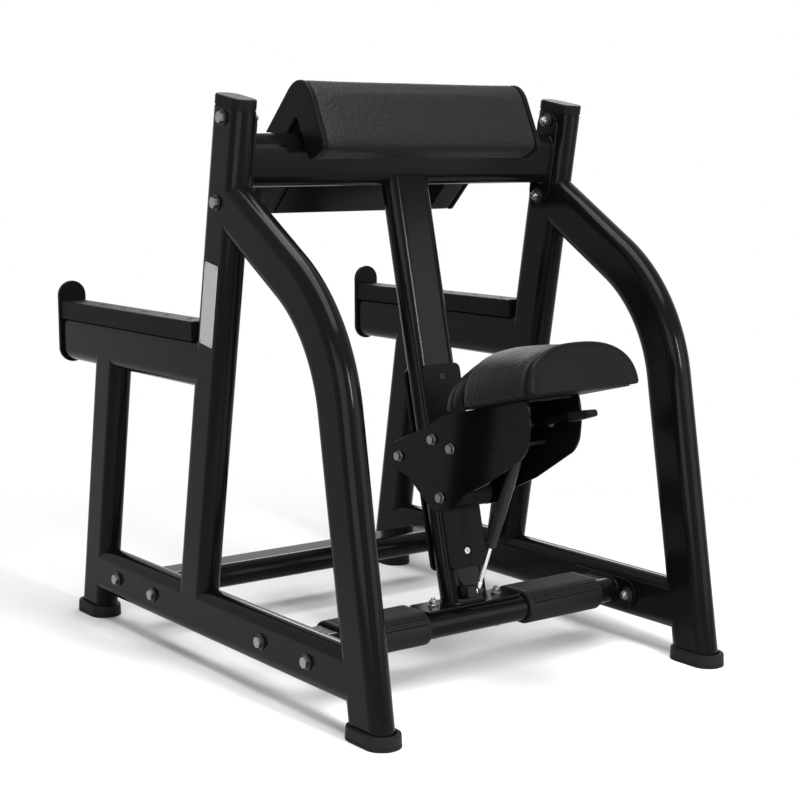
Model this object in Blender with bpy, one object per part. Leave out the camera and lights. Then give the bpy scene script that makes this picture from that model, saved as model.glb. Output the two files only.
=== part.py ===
"""A preacher bench: two side frames of flat-oval tube, a forearm pad and a seat on a sliding carriage.

Metres, +Z up. The user sits at the -Y end and faces +Y, and the bar rests on the arms at the +Y end.
Y is measured from midway between the feet, and bench_datum then centres the bench on its own length.
"""

from math import asin, atan2, cos, pi, radians, sin, tan

import bmesh
import bpy
from mathutils import Matrix, Vector

# Clearances
FIT = 0.0003
HOLE_CLEARANCE = 0.0005

# Frame tube, a flat oval
TUBE_LONG = 0.100
TUBE_SHORT = 0.050
TUBE_WALL = 0.003
TUBE_STEPS = 6

# Side frames
FRAME_HALF_SPAN = 0.3881
FOOT_SPACING = 1.0282
RAIL_HEIGHT = 0.1048
FRONT_LEG_LEAN = radians(9.46)
REAR_LEG_LEAN = radians(10.0)
UPRIGHT_LEAN = radians(10.09)
UPRIGHT_FOOT_Y = 0.0980
UPRIGHT_LENGTH = 1.1056
KNEE_HEIGHT = 0.6989
KNEE_RADIUS = 0.320
KNEE_STEPS = 6
UPPER_RUN_LEAN = radians(58.6)
ARM_HEIGHT = 0.5955
ARM_END_Y = 0.6044

# Feet and upright caps
BOOT_HEIGHT = 0.025
BOOT_SOLE = 0.006
BOOT_WALL = 0.008
BOOT_FLARE = 0.001
CAP_HEIGHT = 0.020
CAP_PLUG_DEPTH = 0.005
CAP_EDGE = 0.003

# Bar-rack arms
END_PLATE_WIDTH = 0.063
END_PLATE_HEIGHT = 0.175
END_PLATE_THICKNESS = 0.008
END_PLATE_DROP = 0.006
STRIP_WIDTH = 0.056
STRIP_TOP_RISE = 0.027
STRIP_SKIRT_DROP = 0.0105
STRIP_EDGE = 0.004
STRIP_END_GAP = 0.001
STRIP_SCREWS = 6
STRIP_SCREW_PITCH = 0.092
STRIP_SCREW_RECESS_RADIUS = 0.006
STRIP_SCREW_RECESS_DEPTH = 0.006

# Crossbars
FLANGE_LENGTH = 0.195
FLANGE_WIDTH = 0.060
FLANGE_THICKNESS = 0.006
FOOT_BAR_Y = -0.2721
REAR_BAR_Y = 0.2969
UPPER_BAR_DROP = 0.1142
GRIP_INNER_X = 0.120
GRIP_LENGTH = 0.190
GRIP_WALL = 0.0075
GRIP_RIBS = 9
GRIP_RIB_HEIGHT = 0.0012
GRIP_EDGE = 0.003

# Frame bolts, in pairs
BOLT_PITCH = 0.155
BOLT_DIAMETER = 0.012
BOLT_HEAD_FLATS = 0.019
BOLT_HEAD_HEIGHT = 0.0075
WASHER_DIAMETER = 0.030
WASHER_THICKNESS = 0.0025
NUT_HEIGHT = 0.010
BOLT_TIP = 0.004
HEAD_SINK = 0.0002
CRUSH_BAR_WIDTH = 0.018
SHANK_STEPS = 8
WASHER_STEPS = 12

# Bolts of the seat post's base
POST_BOLT_HALF_SPAN = 0.077
POST_BOLT_DIAMETER = 0.010
POST_BOLT_HEAD_FLATS = 0.016
POST_BOLT_HEAD_HEIGHT = 0.0064
POST_WASHER_DIAMETER = 0.021

# Seat post
POST_FOOT_Y = -0.3016
POST_HEAD_BEHIND = 0.0082
POST_TOP_DROP = 0.0205
POST_BASE_LENGTH = 0.235
POST_BASE_WIDTH = 0.062
POST_BASE_THICKNESS = 0.005
POST_BASE_CORNER = 0.012
POST_BASE_SHIFT = -0.003

# Guide strips on the post
GUIDE_WIDTH = 0.090
GUIDE_THICKNESS = 0.008
GUIDE_BOTTOM = 0.1992
GUIDE_LENGTH = 0.394
GUIDE_CORNER = 0.012
GUIDE_SCREW_RISE = 0.032
GUIDE_SCREW_DIAMETER = 0.006
GUIDE_SCREW_HEAD_RADIUS = 0.0065
GUIDE_SCREW_HEAD_DEPTH = 0.004
GUIDE_SCREW_LENGTH = 0.018

# Seat carriage, placed by distance ahead of the post's axis and by height along it
SIDE_PLATE_INNER_X = 0.0575
SIDE_PLATE_THICKNESS = 0.005
SIDE_PLATE_RISE = 0.0418
ROLLER_RADIUS = 0.0235
ROLLER_LENGTH = 0.088
ROLLER_EDGE = 0.002
UPPER_ROLLER_HEIGHT = 0.4498
LOWER_ROLLER_DROP = 0.1111
REAR_ROLLER_DROP = 0.0206
AXLE_DIAMETER = 0.010
AXLE_HEAD_FLATS = 0.016
AXLE_HEAD_HEIGHT = 0.0065
AXLE_WASHER_DIAMETER = 0.020
AXLE_WASHER_THICKNESS = 0.002
AXLE_NUT_HEIGHT = 0.008
AXLE_TIP = 0.003
SPACER_AHEAD = 0.1104
SPACER_DROP = 0.0229
SPACER_TUBE_DIAMETER = 0.018
# Corners of a carriage plate: what each one goes round, its distance ahead of that and above it,
# its radius and its steps
CARRIAGE_PLATE = [
    ("seat front", 0.0095, 0, 0.004, 1),
    ("seat front", 0.0125, -0.0336, 0.100, 3),
    ("spring stud", 0.0889, -0.0208, 0.050, 4),
    ("spring stud", -0.0411, -0.0638, 0.120, 2),
    ("lower roller", 0.0704, -0.0007, 0.060, 2),
    ("lower roller", 0.0329, -0.0227, 0.040, 3),
    ("lower roller", -0.0321, -0.0257, 0.030, 4),
    ("rear roller", 0.0205, -0.0443, 0.030, 2),
    ("rear roller", -0.0279, -0.0172, 0.022, 4),
    ("rear roller", -0.0269, 0.0268, 0.018, 4),
    ("upper roller", -0.0229, 0.0249, 0.040, 2),
    ("seat rear", -0.0100, 0, 0.030, 2),
]

# Seat
SUPPORT_PLATE_THICKNESS = 0.005
SUPPORT_PLATE_REAR = 0.110
SUPPORT_PLATE_FRONT = 0.335
BOARD_THICKNESS = 0.006
BOARD_INSET = 0.006
BOARD_CORNER = 0.020
SEAT_REAR = 0.181
SEAT_FRONT = 0.437
SEAT_HALF_WIDTH = 0.130
SEAT_LIP_LENGTH = 0.0125
SEAT_LIP_DROP = 0.0045
SEAT_ARCH_STEPS = 24
# Sections of the seat: distance ahead, share of the half width, height, fullness of the arch
SEAT_REAR_BAND = [
    (0.181, 0.880, 0.0700, 1.90),
    (0.194, 0.945, 0.0790, 1.90),
    (0.214, 0.960, 0.0850, 1.90),
    (0.239, 0.970, 0.0875, 1.95),
]
SEAT_REAR_GROOVE = [
    (0.244, 0.955, 0.0855, 1.95),
    (0.247, 0.955, 0.0855, 1.95),
]
SEAT_BODY = [
    (0.253, 0.985, 0.0897, 2.00),
    (0.285, 1.000, 0.0905, 2.05),
    (0.325, 1.000, 0.0870, 2.10),
    (0.370, 1.000, 0.0808, 2.12),
    (0.403, 0.995, 0.0772, 2.12),
]
SEAT_FRONT_GROOVE = [
    (0.4175, 0.982, 0.0757, 2.10),
    (0.4205, 0.982, 0.0757, 2.10),
]
SEAT_END_PANEL = [
    (0.4240, 0.998, 0.0788, 2.12),
    (0.4300, 0.990, 0.0778, 2.12),
    (0.4345, 0.940, 0.0735, 2.10),
    (0.4370, 0.800, 0.0640, 2.00),
]

# Release lever
LEVER_PIVOT_AHEAD = 0.285
LEVER_PIVOT_DROP = 0.0406
LEVER_ROD_RADIUS = 0.005
LEVER_WIDTH = 0.016
LEVER_DEPTH = 0.014
LEVER_REAR = 0.262
LEVER_FRONT = 0.402
LEVER_GRIP_REAR = 0.388
LEVER_GRIP_FRONT = 0.443
LEVER_GRIP_WIDTH = 0.024
LEVER_GRIP_DEPTH = 0.019
LEVER_GRIP_TIP_DEPTH = 0.012
LEVER_GRIP_CORNER = 0.005
LEVER_GRIP_EDGE = 0.003

# Gas spring
SPRING_LOWER_AHEAD = 0.047
SPRING_LOWER_HEIGHT = 0.1542
SPRING_UPPER_AHEAD = 0.2361
SPRING_UPPER_DROP = 0.0758
CYLINDER_RADIUS = 0.011
CYLINDER_WALL = 0.002
CYLINDER_LENGTH = 0.214
CYLINDER_CAP_THICKNESS = 0.006
CYLINDER_NECK_RADIUS = 0.006
CYLINDER_ROLL_INSET = 0.002
CYLINDER_ROLL_LENGTH = 0.003
CYLINDER_SHOULDER_LENGTH = 0.008
CYLINDER_TAPER_LENGTH = 0.004
ROD_RADIUS = 0.0045
ROD_GUIDE_DEPTH = 0.012
ROD_REACH_INSIDE = 0.120
ROD_FITTING_RADIUS = 0.0056
ROD_FITTING_LENGTH = 0.014
ROD_FITTING_START = 0.0063
ROD_FITTING_NECK_RADIUS = 0.0045
ROD_FITTING_TAPER = 0.002
EYE_RADIUS = 0.009
EYE_HOLE_RADIUS = 0.0045
STUD_RADIUS = 0.004
UPPER_EYE_SIDE_GAP = 0.0005
BRACKET_INNER_X = 0.0085
BRACKET_OUTER_X = 0.0300
BRACKET_HALF_HEIGHT = 0.0125
BRACKET_DEPTH = 0.030
BRACKET_CORNER = 0.003
STUD_END = 0.002

# Arm pad, drawn from the meeting point of its two outer faces
PAD_HALF_WIDTH = 0.259
PAD_RIDGE_AHEAD = 0.0386
PAD_RIDGE_RISE = 0.1779
PAD_REAR_SLOPE = radians(44.0)
PAD_FRONT_SLOPE = radians(25.3)
PAD_REAR_LENGTH = 0.358
PAD_FRONT_LENGTH = 0.1688
PAD_THICKNESS = 0.0564
PAD_NOSE_THICKNESS = 0.0600
PAD_VOID_START = 0.0830
PAD_RIDGE_RADIUS = 0.050
PAD_OUTER_CORNER = 0.011
PAD_INNER_CORNER = 0.010
PAD_VOID_CORNER = 0.004
PAD_END_EDGE = 0.006
PAD_CROWN = 0.0025
# Where the pad's crown rises, as shares of its half width and of the crown
PAD_CROWN_STATIONS = [(0.8, 0.6), (0.45, 1), (0, 1)]
PAD_STEPS = 5
PAD_LONGEST_EDGE = 0.045
PAD_END_STEPS = 3

# Plate and brackets under the arm pad
PAD_PLATE_HALF_WIDTH = 0.192
PAD_PLATE_THICKNESS = 0.003
PAD_PLATE_FRONT = 0.058
PAD_PLATE_REAR = 0.262
PAD_PLATE_BEND = 0.010
PAD_BRACKET_X = 0.110
PAD_BRACKET_WIDTH = 0.040
PAD_BRACKET_FRONT = 0.036
PAD_BRACKET_REAR = 0.040

# Badge on the left upright
BADGE_WIDTH = 0.047
BADGE_LENGTH = 0.156
BADGE_THICKNESS = 0.0012
BADGE_CORNER = 0.004
BADGE_DROP = 0.2655
BADGE_RIVET_RADIUS = 0.0025
BADGE_RIVET_RISE = 0.0008
BADGE_RIVET_INSET = 0.005

# Places that follow from the sizes above
UP = Vector((0, 0, 1))
ACROSS = Vector((1, 0, 0))
REARWARD = Vector((0, 1, 0))
TUBE_ROUND = TUBE_SHORT / 2
ARM_TOP = ARM_HEIGHT + TUBE_LONG / 2
FRONT_FOOT_Y = -FOOT_SPACING / 2
REAR_FOOT_Y = FOOT_SPACING / 2
UPRIGHT_AXIS = Vector((0, -sin(UPRIGHT_LEAN), cos(UPRIGHT_LEAN)))
REAR_LEG_AXIS = Vector((0, -sin(REAR_LEG_LEAN), cos(REAR_LEG_LEAN)))
FRONT_LEG_AXIS = Vector((0, sin(FRONT_LEG_LEAN), cos(FRONT_LEG_LEAN)))
UPPER_BAR_HEIGHT = UPRIGHT_LENGTH * cos(UPRIGHT_LEAN) - UPPER_BAR_DROP
POST_FRONT = TUBE_ROUND
GUIDE_FACE = POST_FRONT + FIT + GUIDE_THICKNESS
ROLLER_AHEAD = GUIDE_FACE + FIT + ROLLER_RADIUS
GUIDE_TOP = GUIDE_BOTTOM + GUIDE_LENGTH
GUIDE_SCREW_HEIGHT = GUIDE_BOTTOM + GUIDE_SCREW_RISE
LOWER_ROLLER_HEIGHT = UPPER_ROLLER_HEIGHT - LOWER_ROLLER_DROP
REAR_ROLLER_HEIGHT = UPPER_ROLLER_HEIGHT - REAR_ROLLER_DROP
SPACER_HEIGHT = UPPER_ROLLER_HEIGHT - SPACER_DROP
SIDE_PLATE_TOP = UPPER_ROLLER_HEIGHT + SIDE_PLATE_RISE
LEVER_PIVOT_HEIGHT = SIDE_PLATE_TOP - LEVER_PIVOT_DROP
SPRING_UPPER_HEIGHT = SIDE_PLATE_TOP - SPRING_UPPER_DROP
SIDE_PLATE_OUTER_X = SIDE_PLATE_INNER_X + SIDE_PLATE_THICKNESS
BOARD_BOTTOM = SIDE_PLATE_TOP + FIT
SEAT_BOTTOM = BOARD_BOTTOM + BOARD_THICKNESS + FIT
POST_BASE_BOTTOM = RAIL_HEIGHT + TUBE_SHORT / 2 + FIT


def upright_point(height):
    """The point at this height on an upright's centre line."""
    return Vector((0, UPRIGHT_FOOT_Y - height * tan(UPRIGHT_LEAN), height))


UPPER_BAR_CENTRE = upright_point(UPPER_BAR_HEIGHT)
POST_LEAN = atan2(UPPER_BAR_CENTRE.y + POST_HEAD_BEHIND - POST_FOOT_Y, UPPER_BAR_HEIGHT)
POST_TOP = (UPPER_BAR_HEIGHT - POST_TOP_DROP) / cos(POST_LEAN)


# Outlines

def oval_points(length, width, steps=TUBE_STEPS):
    """A flat oval: half-rounds on the two ends of its long X axis."""
    radius = width / 2
    reach = length / 2 - radius
    points = []
    for end in (1, -1):
        for step in range(steps + 1):
            angle = pi * step / steps - pi / 2
            points.append(Vector((end * (reach + radius * cos(angle)), end * radius * sin(angle))))
    return points


def circle_points(radius, steps, centre=(0, 0)):
    turn = [2 * pi * step / steps for step in range(steps)]
    return [Vector((centre[0] + radius * cos(a), centre[1] + radius * sin(a))) for a in turn]


def rounded_points(corners):
    """An outline from (x, y, radius, steps) corners, with an arc at each corner that has a radius."""
    places = [Vector(corner[:2]) for corner in corners]
    points = []
    for index, (x, y, radius, steps) in enumerate(corners):
        corner = places[index]
        back = (places[index - 1] - corner).normalized()
        ahead = (places[(index + 1) % len(places)] - corner).normalized()
        if radius == 0:
            points.append(corner)
            continue
        half_angle = back.angle(ahead) / 2
        middle = (back + ahead).normalized()
        centre = corner + middle * radius / sin(half_angle)
        start = corner + back * radius / tan(half_angle) - centre
        turn = pi - 2 * half_angle
        side = 1 if back.cross(ahead) < 0 else -1
        for step in range(steps + 1):
            points.append(centre + Matrix.Rotation(side * turn * step / steps, 2) @ start)
    return points


def box_points(x_low, x_high, y_low, y_high, radius=0.0, steps=3):
    corners = [(x_low, y_low), (x_high, y_low), (x_high, y_high), (x_low, y_high)]
    return rounded_points([(x, y, radius, steps) for x, y in corners])


# Frames of reference, as matrices

def frame(origin, z_axis, x_axis):
    """A frame at origin whose Z and X axes point along the two directions."""
    z = Vector(z_axis).normalized()
    x = Vector(x_axis)
    x = (x - z * x.dot(z)).normalized()
    matrix = Matrix((x, z.cross(x), z)).transposed().to_4x4()
    matrix.translation = Vector(origin)
    return matrix


def sideways(x_start):
    """A frame in which an outline of (Y, Z) points is extruded along X, from x_start."""
    return frame((x_start, 0, 0), ACROSS, REARWARD)


# Meshes

def add_prism(bm, points, bottom, top, matrix=Matrix.Identity(4)):
    """A solid with this outline in local XY, from bottom to top along local Z."""
    verts = [bm.verts.new(matrix @ Vector((p[0], p[1], bottom))) for p in points]
    face = bm.faces.new(verts)
    rise = matrix.to_3x3() @ Vector((0, 0, top - bottom))
    grown = bmesh.ops.extrude_face_region(bm, geom=[face])
    moved = [item for item in grown["geom"] if isinstance(item, bmesh.types.BMVert)]
    bmesh.ops.translate(bm, verts=moved, vec=rise)
    return moved


def add_turned(bm, profile, steps, matrix=Matrix.Identity(4), ring=False):
    """A solid of revolution round local Z, from (radius, height) points."""
    verts = [bm.verts.new((radius, 0, height)) for radius, height in profile]
    ends = verts[1:] + verts[:1] if ring else verts[1:]
    edges = [bm.edges.new(pair) for pair in zip(verts, ends)]
    before = set(bm.verts) - set(verts)
    bmesh.ops.spin(
        bm, geom=verts + edges, cent=(0, 0, 0), axis=(0, 0, 1), angle=2 * pi, steps=steps, use_merge=True
    )
    made = [vert for vert in bm.verts if vert not in before]
    bmesh.ops.remove_doubles(bm, verts=made, dist=1e-6)
    made = [vert for vert in bm.verts if vert not in before]
    bmesh.ops.transform(bm, matrix=matrix, verts=made)


def finish_mesh(bm, name):
    bmesh.ops.recalc_face_normals(bm, faces=bm.faces)
    mesh = bpy.data.meshes.new(name)
    bm.to_mesh(mesh)
    bm.free()
    mesh.shade_smooth()
    mesh.set_sharp_from_angle(angle=radians(35))
    return mesh


def prism_mesh(name, points, bottom, top):
    bm = bmesh.new()
    add_prism(bm, points, bottom, top)
    return finish_mesh(bm, name)


# Objects

def place(name, mesh, parent, matrix=Matrix.Identity(4), material=None):
    piece = bpy.data.objects.new(name, mesh)
    bpy.context.scene.collection.objects.link(piece)
    piece.parent = parent
    piece.matrix_basis = matrix
    if material and not mesh.materials:
        mesh.materials.append(material)
    return piece


def empty(name, parent=None, matrix=Matrix.Identity(4)):
    return place(name, None, parent, matrix)


def helper(name, mesh, parent, matrix=Matrix.Identity(4)):
    """A solid that only shapes others."""
    piece = place(name, mesh, parent, matrix)
    piece.hide_render = True
    piece.display_type = "WIRE"
    return piece


def combine(piece, other, operation, own_shells=False):
    modifier = piece.modifiers.new(operation.title() + " " + other.name, "BOOLEAN")
    modifier.operation = operation
    modifier.object = other
    modifier.solver = "EXACT"
    modifier.use_self = own_shells


def cut(piece, *cutters):
    for cutter in cutters:
        combine(piece, cutter, "DIFFERENCE")


def make_material(name, colour, roughness, metallic=0.0):
    material = bpy.data.materials.new(name)
    material.use_nodes = True
    shader = material.node_tree.nodes["Principled BSDF"]
    shader.inputs["Base Color"].default_value = (*colour, 1)
    shader.inputs["Roughness"].default_value = roughness
    shader.inputs["Metallic"].default_value = metallic
    material.diffuse_color = (*colour, 1)
    return material


# Tubes

def oval_tube_mesh(name, length):
    """A straight hollow length of frame tube along local Z, its long side along local X."""
    bm = bmesh.new()
    add_tube_ring(bm)
    extrude_tube(bm, list(bm.faces), Matrix.Translation((0, 0, length)), first=True)
    return finish_mesh(bm, name)


def add_tube_ring(bm):
    """The cut end of a tube, a ring of faces in local XY."""
    inner_size = (TUBE_LONG - 2 * TUBE_WALL, TUBE_SHORT - 2 * TUBE_WALL)
    loops = []
    for length, width in ((TUBE_LONG, TUBE_SHORT), inner_size):
        verts = [bm.verts.new((p[0], p[1], 0)) for p in oval_points(length, width)]
        loops.append([bm.edges.new((a, b)) for a, b in zip(verts, verts[1:] + verts[:1])])
    bmesh.ops.bridge_loops(bm, edges=loops[0] + loops[1])


def extrude_tube(bm, faces, matrix, first=False):
    """Draws the tube's end out along a move or a turn, and returns the new end.

    The first end stays as the tube's other face, and a later one would lie inside the wall.
    """
    grown = bmesh.ops.extrude_face_region(bm, geom=faces)["geom"]
    verts = [item for item in grown if isinstance(item, bmesh.types.BMVert)]
    bmesh.ops.transform(bm, matrix=matrix, verts=verts)
    if not first:
        bmesh.ops.delete(bm, geom=faces, context="FACES_ONLY")
    return [item for item in grown if isinstance(item, bmesh.types.BMFace)]


def straight_tube(name, parent, origin, direction, long_axis, length, material):
    matrix = frame(origin, direction, long_axis)
    return place(name, oval_tube_mesh(name, length), parent, matrix, material)


def tube_shadow(name, parent, origin, direction, long_axis, length, start=0.0, gap=FIT):
    """The solid that a tube fills, with a gap round it, to cut its neighbours with."""
    points = oval_points(TUBE_LONG + 2 * gap, TUBE_SHORT + 2 * gap)
    mesh = prism_mesh(name, points, start, length)
    return helper(name, mesh, parent, frame(origin, direction, long_axis))


# Side frames

def front_leg_knee():
    """The leg's turning centre and the heights along its lower run where the bend starts."""
    bend = UPPER_RUN_LEAN - FRONT_LEG_LEAN
    run_to_knee = KNEE_HEIGHT / cos(FRONT_LEG_LEAN)
    return bend, run_to_knee - KNEE_RADIUS * tan(bend / 2)


def front_leg_mesh():
    """The leg along local Z, its long side along local X, with the knee turning towards +X."""
    bend, lower_run = front_leg_knee()
    knee_y = FRONT_FOOT_Y + KNEE_HEIGHT * tan(FRONT_LEG_LEAN)
    slope = sin(UPPER_RUN_LEAN) + cos(UPPER_RUN_LEAN) * tan(UPRIGHT_LEAN)
    run_from_knee = (upright_point(KNEE_HEIGHT).y - knee_y) / slope
    upper_run = run_from_knee - KNEE_RADIUS * tan(bend / 2)
    bm = bmesh.new()
    add_tube_ring(bm)
    faces = extrude_tube(bm, list(bm.faces), Matrix.Translation((0, 0, lower_run)), first=True)
    centre = Matrix.Translation((KNEE_RADIUS, 0, lower_run))
    step = centre @ Matrix.Rotation(bend / KNEE_STEPS, 4, "Y") @ centre.inverted()
    for _ in range(KNEE_STEPS):
        faces = extrude_tube(bm, faces, step)
    extrude_tube(bm, faces, Matrix.Translation(Vector((sin(bend), 0, cos(bend))) * upper_run))
    return finish_mesh(bm, "front_leg")


def make_side_frame(side, sign, datum, finish, floor_cutter):
    """One side's five tubes, with their boots and cap. The outer face looks away from the seat."""
    centre = empty(side + "_frame_plane", datum, Matrix.Translation((sign * FRAME_HALF_SPAN, 0, 0)))
    front_foot = Vector((0, FRONT_FOOT_Y, 0))
    rear_foot = Vector((0, REAR_FOOT_Y, 0))
    rail_start = front_foot + FRONT_LEG_AXIS * RAIL_HEIGHT / FRONT_LEG_AXIS.z
    rail_end = rear_foot + REAR_LEG_AXIS * RAIL_HEIGHT / REAR_LEG_AXIS.z
    arm_start = upright_point(ARM_HEIGHT)
    rear_leg_length = ARM_HEIGHT / REAR_LEG_AXIS.z
    upright_start = upright_point(RAIL_HEIGHT)
    upright_length = UPRIGHT_LENGTH - RAIL_HEIGHT / cos(UPRIGHT_LEAN) - CAP_HEIGHT - FIT
    arm_length = ARM_END_Y - arm_start.y

    lower_run = front_leg_knee()[1]
    shadows = {
        "front_leg": tube_shadow(
            side + "_front_leg_shadow", centre, front_foot, FRONT_LEG_AXIS, REARWARD, lower_run
        ),
        "rear_leg": tube_shadow(
            side + "_rear_leg_shadow", centre, rear_foot, REAR_LEG_AXIS, REARWARD, rear_leg_length
        ),
        "rail": tube_shadow(
            side + "_rail_shadow", centre, rail_start, REARWARD, UP, rail_end.y - rail_start.y
        ),
        "upright": tube_shadow(
            side + "_upright_shadow", centre, upright_start, UPRIGHT_AXIS, REARWARD, upright_length
        ),
        "arm": tube_shadow(side + "_arm_shadow", centre, arm_start, REARWARD, UP, arm_length),
    }

    upright = straight_tube(
        side + "_upright", centre, upright_start, UPRIGHT_AXIS, REARWARD, upright_length, finish["coat"]
    )
    cut(upright, shadows["rail"])
    rail = straight_tube(
        side + "_base_rail", centre, rail_start, REARWARD, UP, rail_end.y - rail_start.y, finish["coat"]
    )
    cut(rail, shadows["front_leg"], shadows["rear_leg"])
    arm = straight_tube(
        side + "_rack_arm", centre, arm_start, REARWARD, UP, arm_length, finish["coat"]
    )
    cut(arm, shadows["upright"])
    rear_leg = straight_tube(
        side + "_rear_leg", centre, rear_foot, REAR_LEG_AXIS, REARWARD, rear_leg_length, finish["coat"]
    )
    cut(rear_leg, shadows["arm"], floor_cutter)
    leg_matrix = frame(front_foot, FRONT_LEG_AXIS, REARWARD)
    front_leg = place(side + "_front_leg", front_leg_mesh(), centre, leg_matrix, finish["coat"])
    cut(front_leg, shadows["upright"], floor_cutter)

    make_boot(side + "_front_foot", centre, front_foot, FRONT_LEG_AXIS, finish["rubber"])
    make_boot(side + "_rear_foot", centre, rear_foot, REAR_LEG_AXIS, finish["rubber"])
    make_cap(side, centre, upright_start, upright_length, finish["plastic"])
    make_rack_arm_fittings(side, centre, finish)
    return centre, upright, rail


def make_boot(name, parent, foot, leg_axis, material):
    """A rubber cup round the end of a leg, wider at the floor."""
    length = TUBE_LONG / leg_axis.z + 2 * BOOT_WALL
    width = TUBE_SHORT + 2 * BOOT_WALL
    bm = bmesh.new()
    top = add_prism(bm, oval_points(length + 2 * BOOT_FLARE, width + 2 * BOOT_FLARE), 0, BOOT_HEIGHT)
    draw_in = Matrix.Diagonal((length / (length + 2 * BOOT_FLARE), width / (width + 2 * BOOT_FLARE), 1))
    bmesh.ops.transform(bm, matrix=draw_in.to_4x4(), verts=top)
    boot = place(name, finish_mesh(bm, name), parent, frame(foot, UP, REARWARD), material)
    pocket = tube_shadow(name + "_pocket", parent, foot, leg_axis, REARWARD, 2 * BOOT_HEIGHT, -BOOT_HEIGHT)
    floor = prism_mesh(name + "_sole", box_points(-1, 1, -1, 1), -1, BOOT_SOLE)
    cut(pocket, helper(name + "_sole_block", floor, parent, Matrix.Translation(foot)))
    cut(boot, pocket)


def make_cap(side, parent, upright_start, upright_length, material):
    """A plastic plug in the upright's open top, as wide as the tube where it shows."""
    name = side + "_upright_cap"
    plug_inset = 2 * (TUBE_WALL + FIT)
    bm = bmesh.new()
    top = add_prism(bm, oval_points(TUBE_LONG, TUBE_SHORT), FIT, FIT + CAP_HEIGHT)
    rim = [edge for edge in bm.edges if all(vert in top for vert in edge.verts)]
    bmesh.ops.bevel(
        bm, geom=rim, offset=CAP_EDGE, segments=2, profile=0.5, affect="EDGES", material=-1
    )
    cap = place(name, finish_mesh(bm, name), parent, frame(
        upright_start + UPRIGHT_AXIS * upright_length, UPRIGHT_AXIS, REARWARD), material)
    plug_outline = oval_points(TUBE_LONG - plug_inset, TUBE_SHORT - plug_inset)
    plug = prism_mesh(name + "_plug", plug_outline, -CAP_PLUG_DEPTH, CAP_EDGE)
    combine(cap, helper(name + "_plug", plug, parent, cap.matrix_basis), "UNION")


# Bar-rack arms

def make_rack_arm_fittings(side, centre, finish):
    """The end plate that closes the arm and stops the bar, and the wear strip that the bar rests on."""
    plate_bottom = ARM_HEIGHT - TUBE_LONG / 2 - END_PLATE_DROP
    plate_centre = Vector((0, ARM_END_Y + FIT, plate_bottom + END_PLATE_HEIGHT / 2))
    plate = prism_mesh(
        "arm_end_plate", oval_points(END_PLATE_HEIGHT, END_PLATE_WIDTH), 0, END_PLATE_THICKNESS
    )
    place(side + "_arm_end_plate", plate, centre, frame(plate_centre, REARWARD, UP), finish["coat"])

    skirt = ARM_TOP - STRIP_SKIRT_DROP
    upright_rear = upright_point(skirt).y + TUBE_LONG / 2 / cos(UPRIGHT_LEAN)
    strip_start = upright_rear + STRIP_END_GAP
    strip_end = ARM_END_Y - STRIP_END_GAP
    strip = place(
        side + "_wear_strip", wear_strip_mesh(strip_end - strip_start), centre,
        frame((0, strip_start, ARM_TOP), REARWARD, -ACROSS), finish["plastic"]
    )
    first = (strip_end - strip_start - (STRIP_SCREWS - 1) * STRIP_SCREW_PITCH) / 2
    recesses = bmesh.new()
    for screw in range(STRIP_SCREWS):
        y = strip_start + first + screw * STRIP_SCREW_PITCH
        bottom = ARM_TOP + STRIP_TOP_RISE - STRIP_SCREW_RECESS_DEPTH
        ring = circle_points(STRIP_SCREW_RECESS_RADIUS, 8, (0, y))
        add_prism(recesses, ring, bottom, bottom + 2 * STRIP_SCREW_RECESS_DEPTH)
    cut(strip, helper(side + "_strip_recesses", finish_mesh(recesses, "strip_recesses"), centre))


def wear_strip_mesh(length):
    """A block over the arm's round top, with its skirts part of the way down the sides."""
    half = STRIP_WIDTH / 2
    hollow = TUBE_ROUND + FIT
    drop = TUBE_ROUND - STRIP_SKIRT_DROP
    side_angle = asin(drop / hollow)
    corners = [
        (half, -STRIP_SKIRT_DROP, 0, 0),
        (half, STRIP_TOP_RISE, STRIP_EDGE, 2),
        (-half, STRIP_TOP_RISE, STRIP_EDGE, 2),
        (-half, -STRIP_SKIRT_DROP, 0, 0),
    ]
    points = rounded_points(corners)
    for step in range(TUBE_STEPS + 1):
        angle = pi - side_angle - (pi - 2 * side_angle) * step / TUBE_STEPS
        points.append(Vector((hollow * cos(angle), hollow * sin(angle) - TUBE_ROUND)))
    return prism_mesh("wear_strip", points, 0, length)


# Crossbars and their bolts

def make_crossbar(name, datum, centre, long_axis, material):
    """A tube along X, open at both ends, with a welded flange at each end."""
    reach = FRAME_HALF_SPAN - TUBE_ROUND - FIT
    matrix = frame(centre, ACROSS, long_axis)
    tube_reach = reach - FIT
    bar = place(
        name, prism_mesh(name, oval_points(TUBE_LONG, TUBE_SHORT), -tube_reach, tube_reach), datum, matrix,
        material
    )
    for end, low in (("left", -reach), ("right", reach - FLANGE_THICKNESS)):
        flange = prism_mesh(
            name + "_flange", oval_points(FLANGE_LENGTH, FLANGE_WIDTH), low, low + FLANGE_THICKNESS
        )
        combine(bar, helper(name + "_" + end + "_flange", flange, datum, matrix), "UNION")
    inside = oval_points(TUBE_LONG - 2 * TUBE_WALL, TUBE_SHORT - 2 * TUBE_WALL)
    cut(bar, helper(name + "_bore", prism_mesh(name + "_bore", inside, -2 * reach, 2 * reach), datum, matrix))
    return bar


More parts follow.
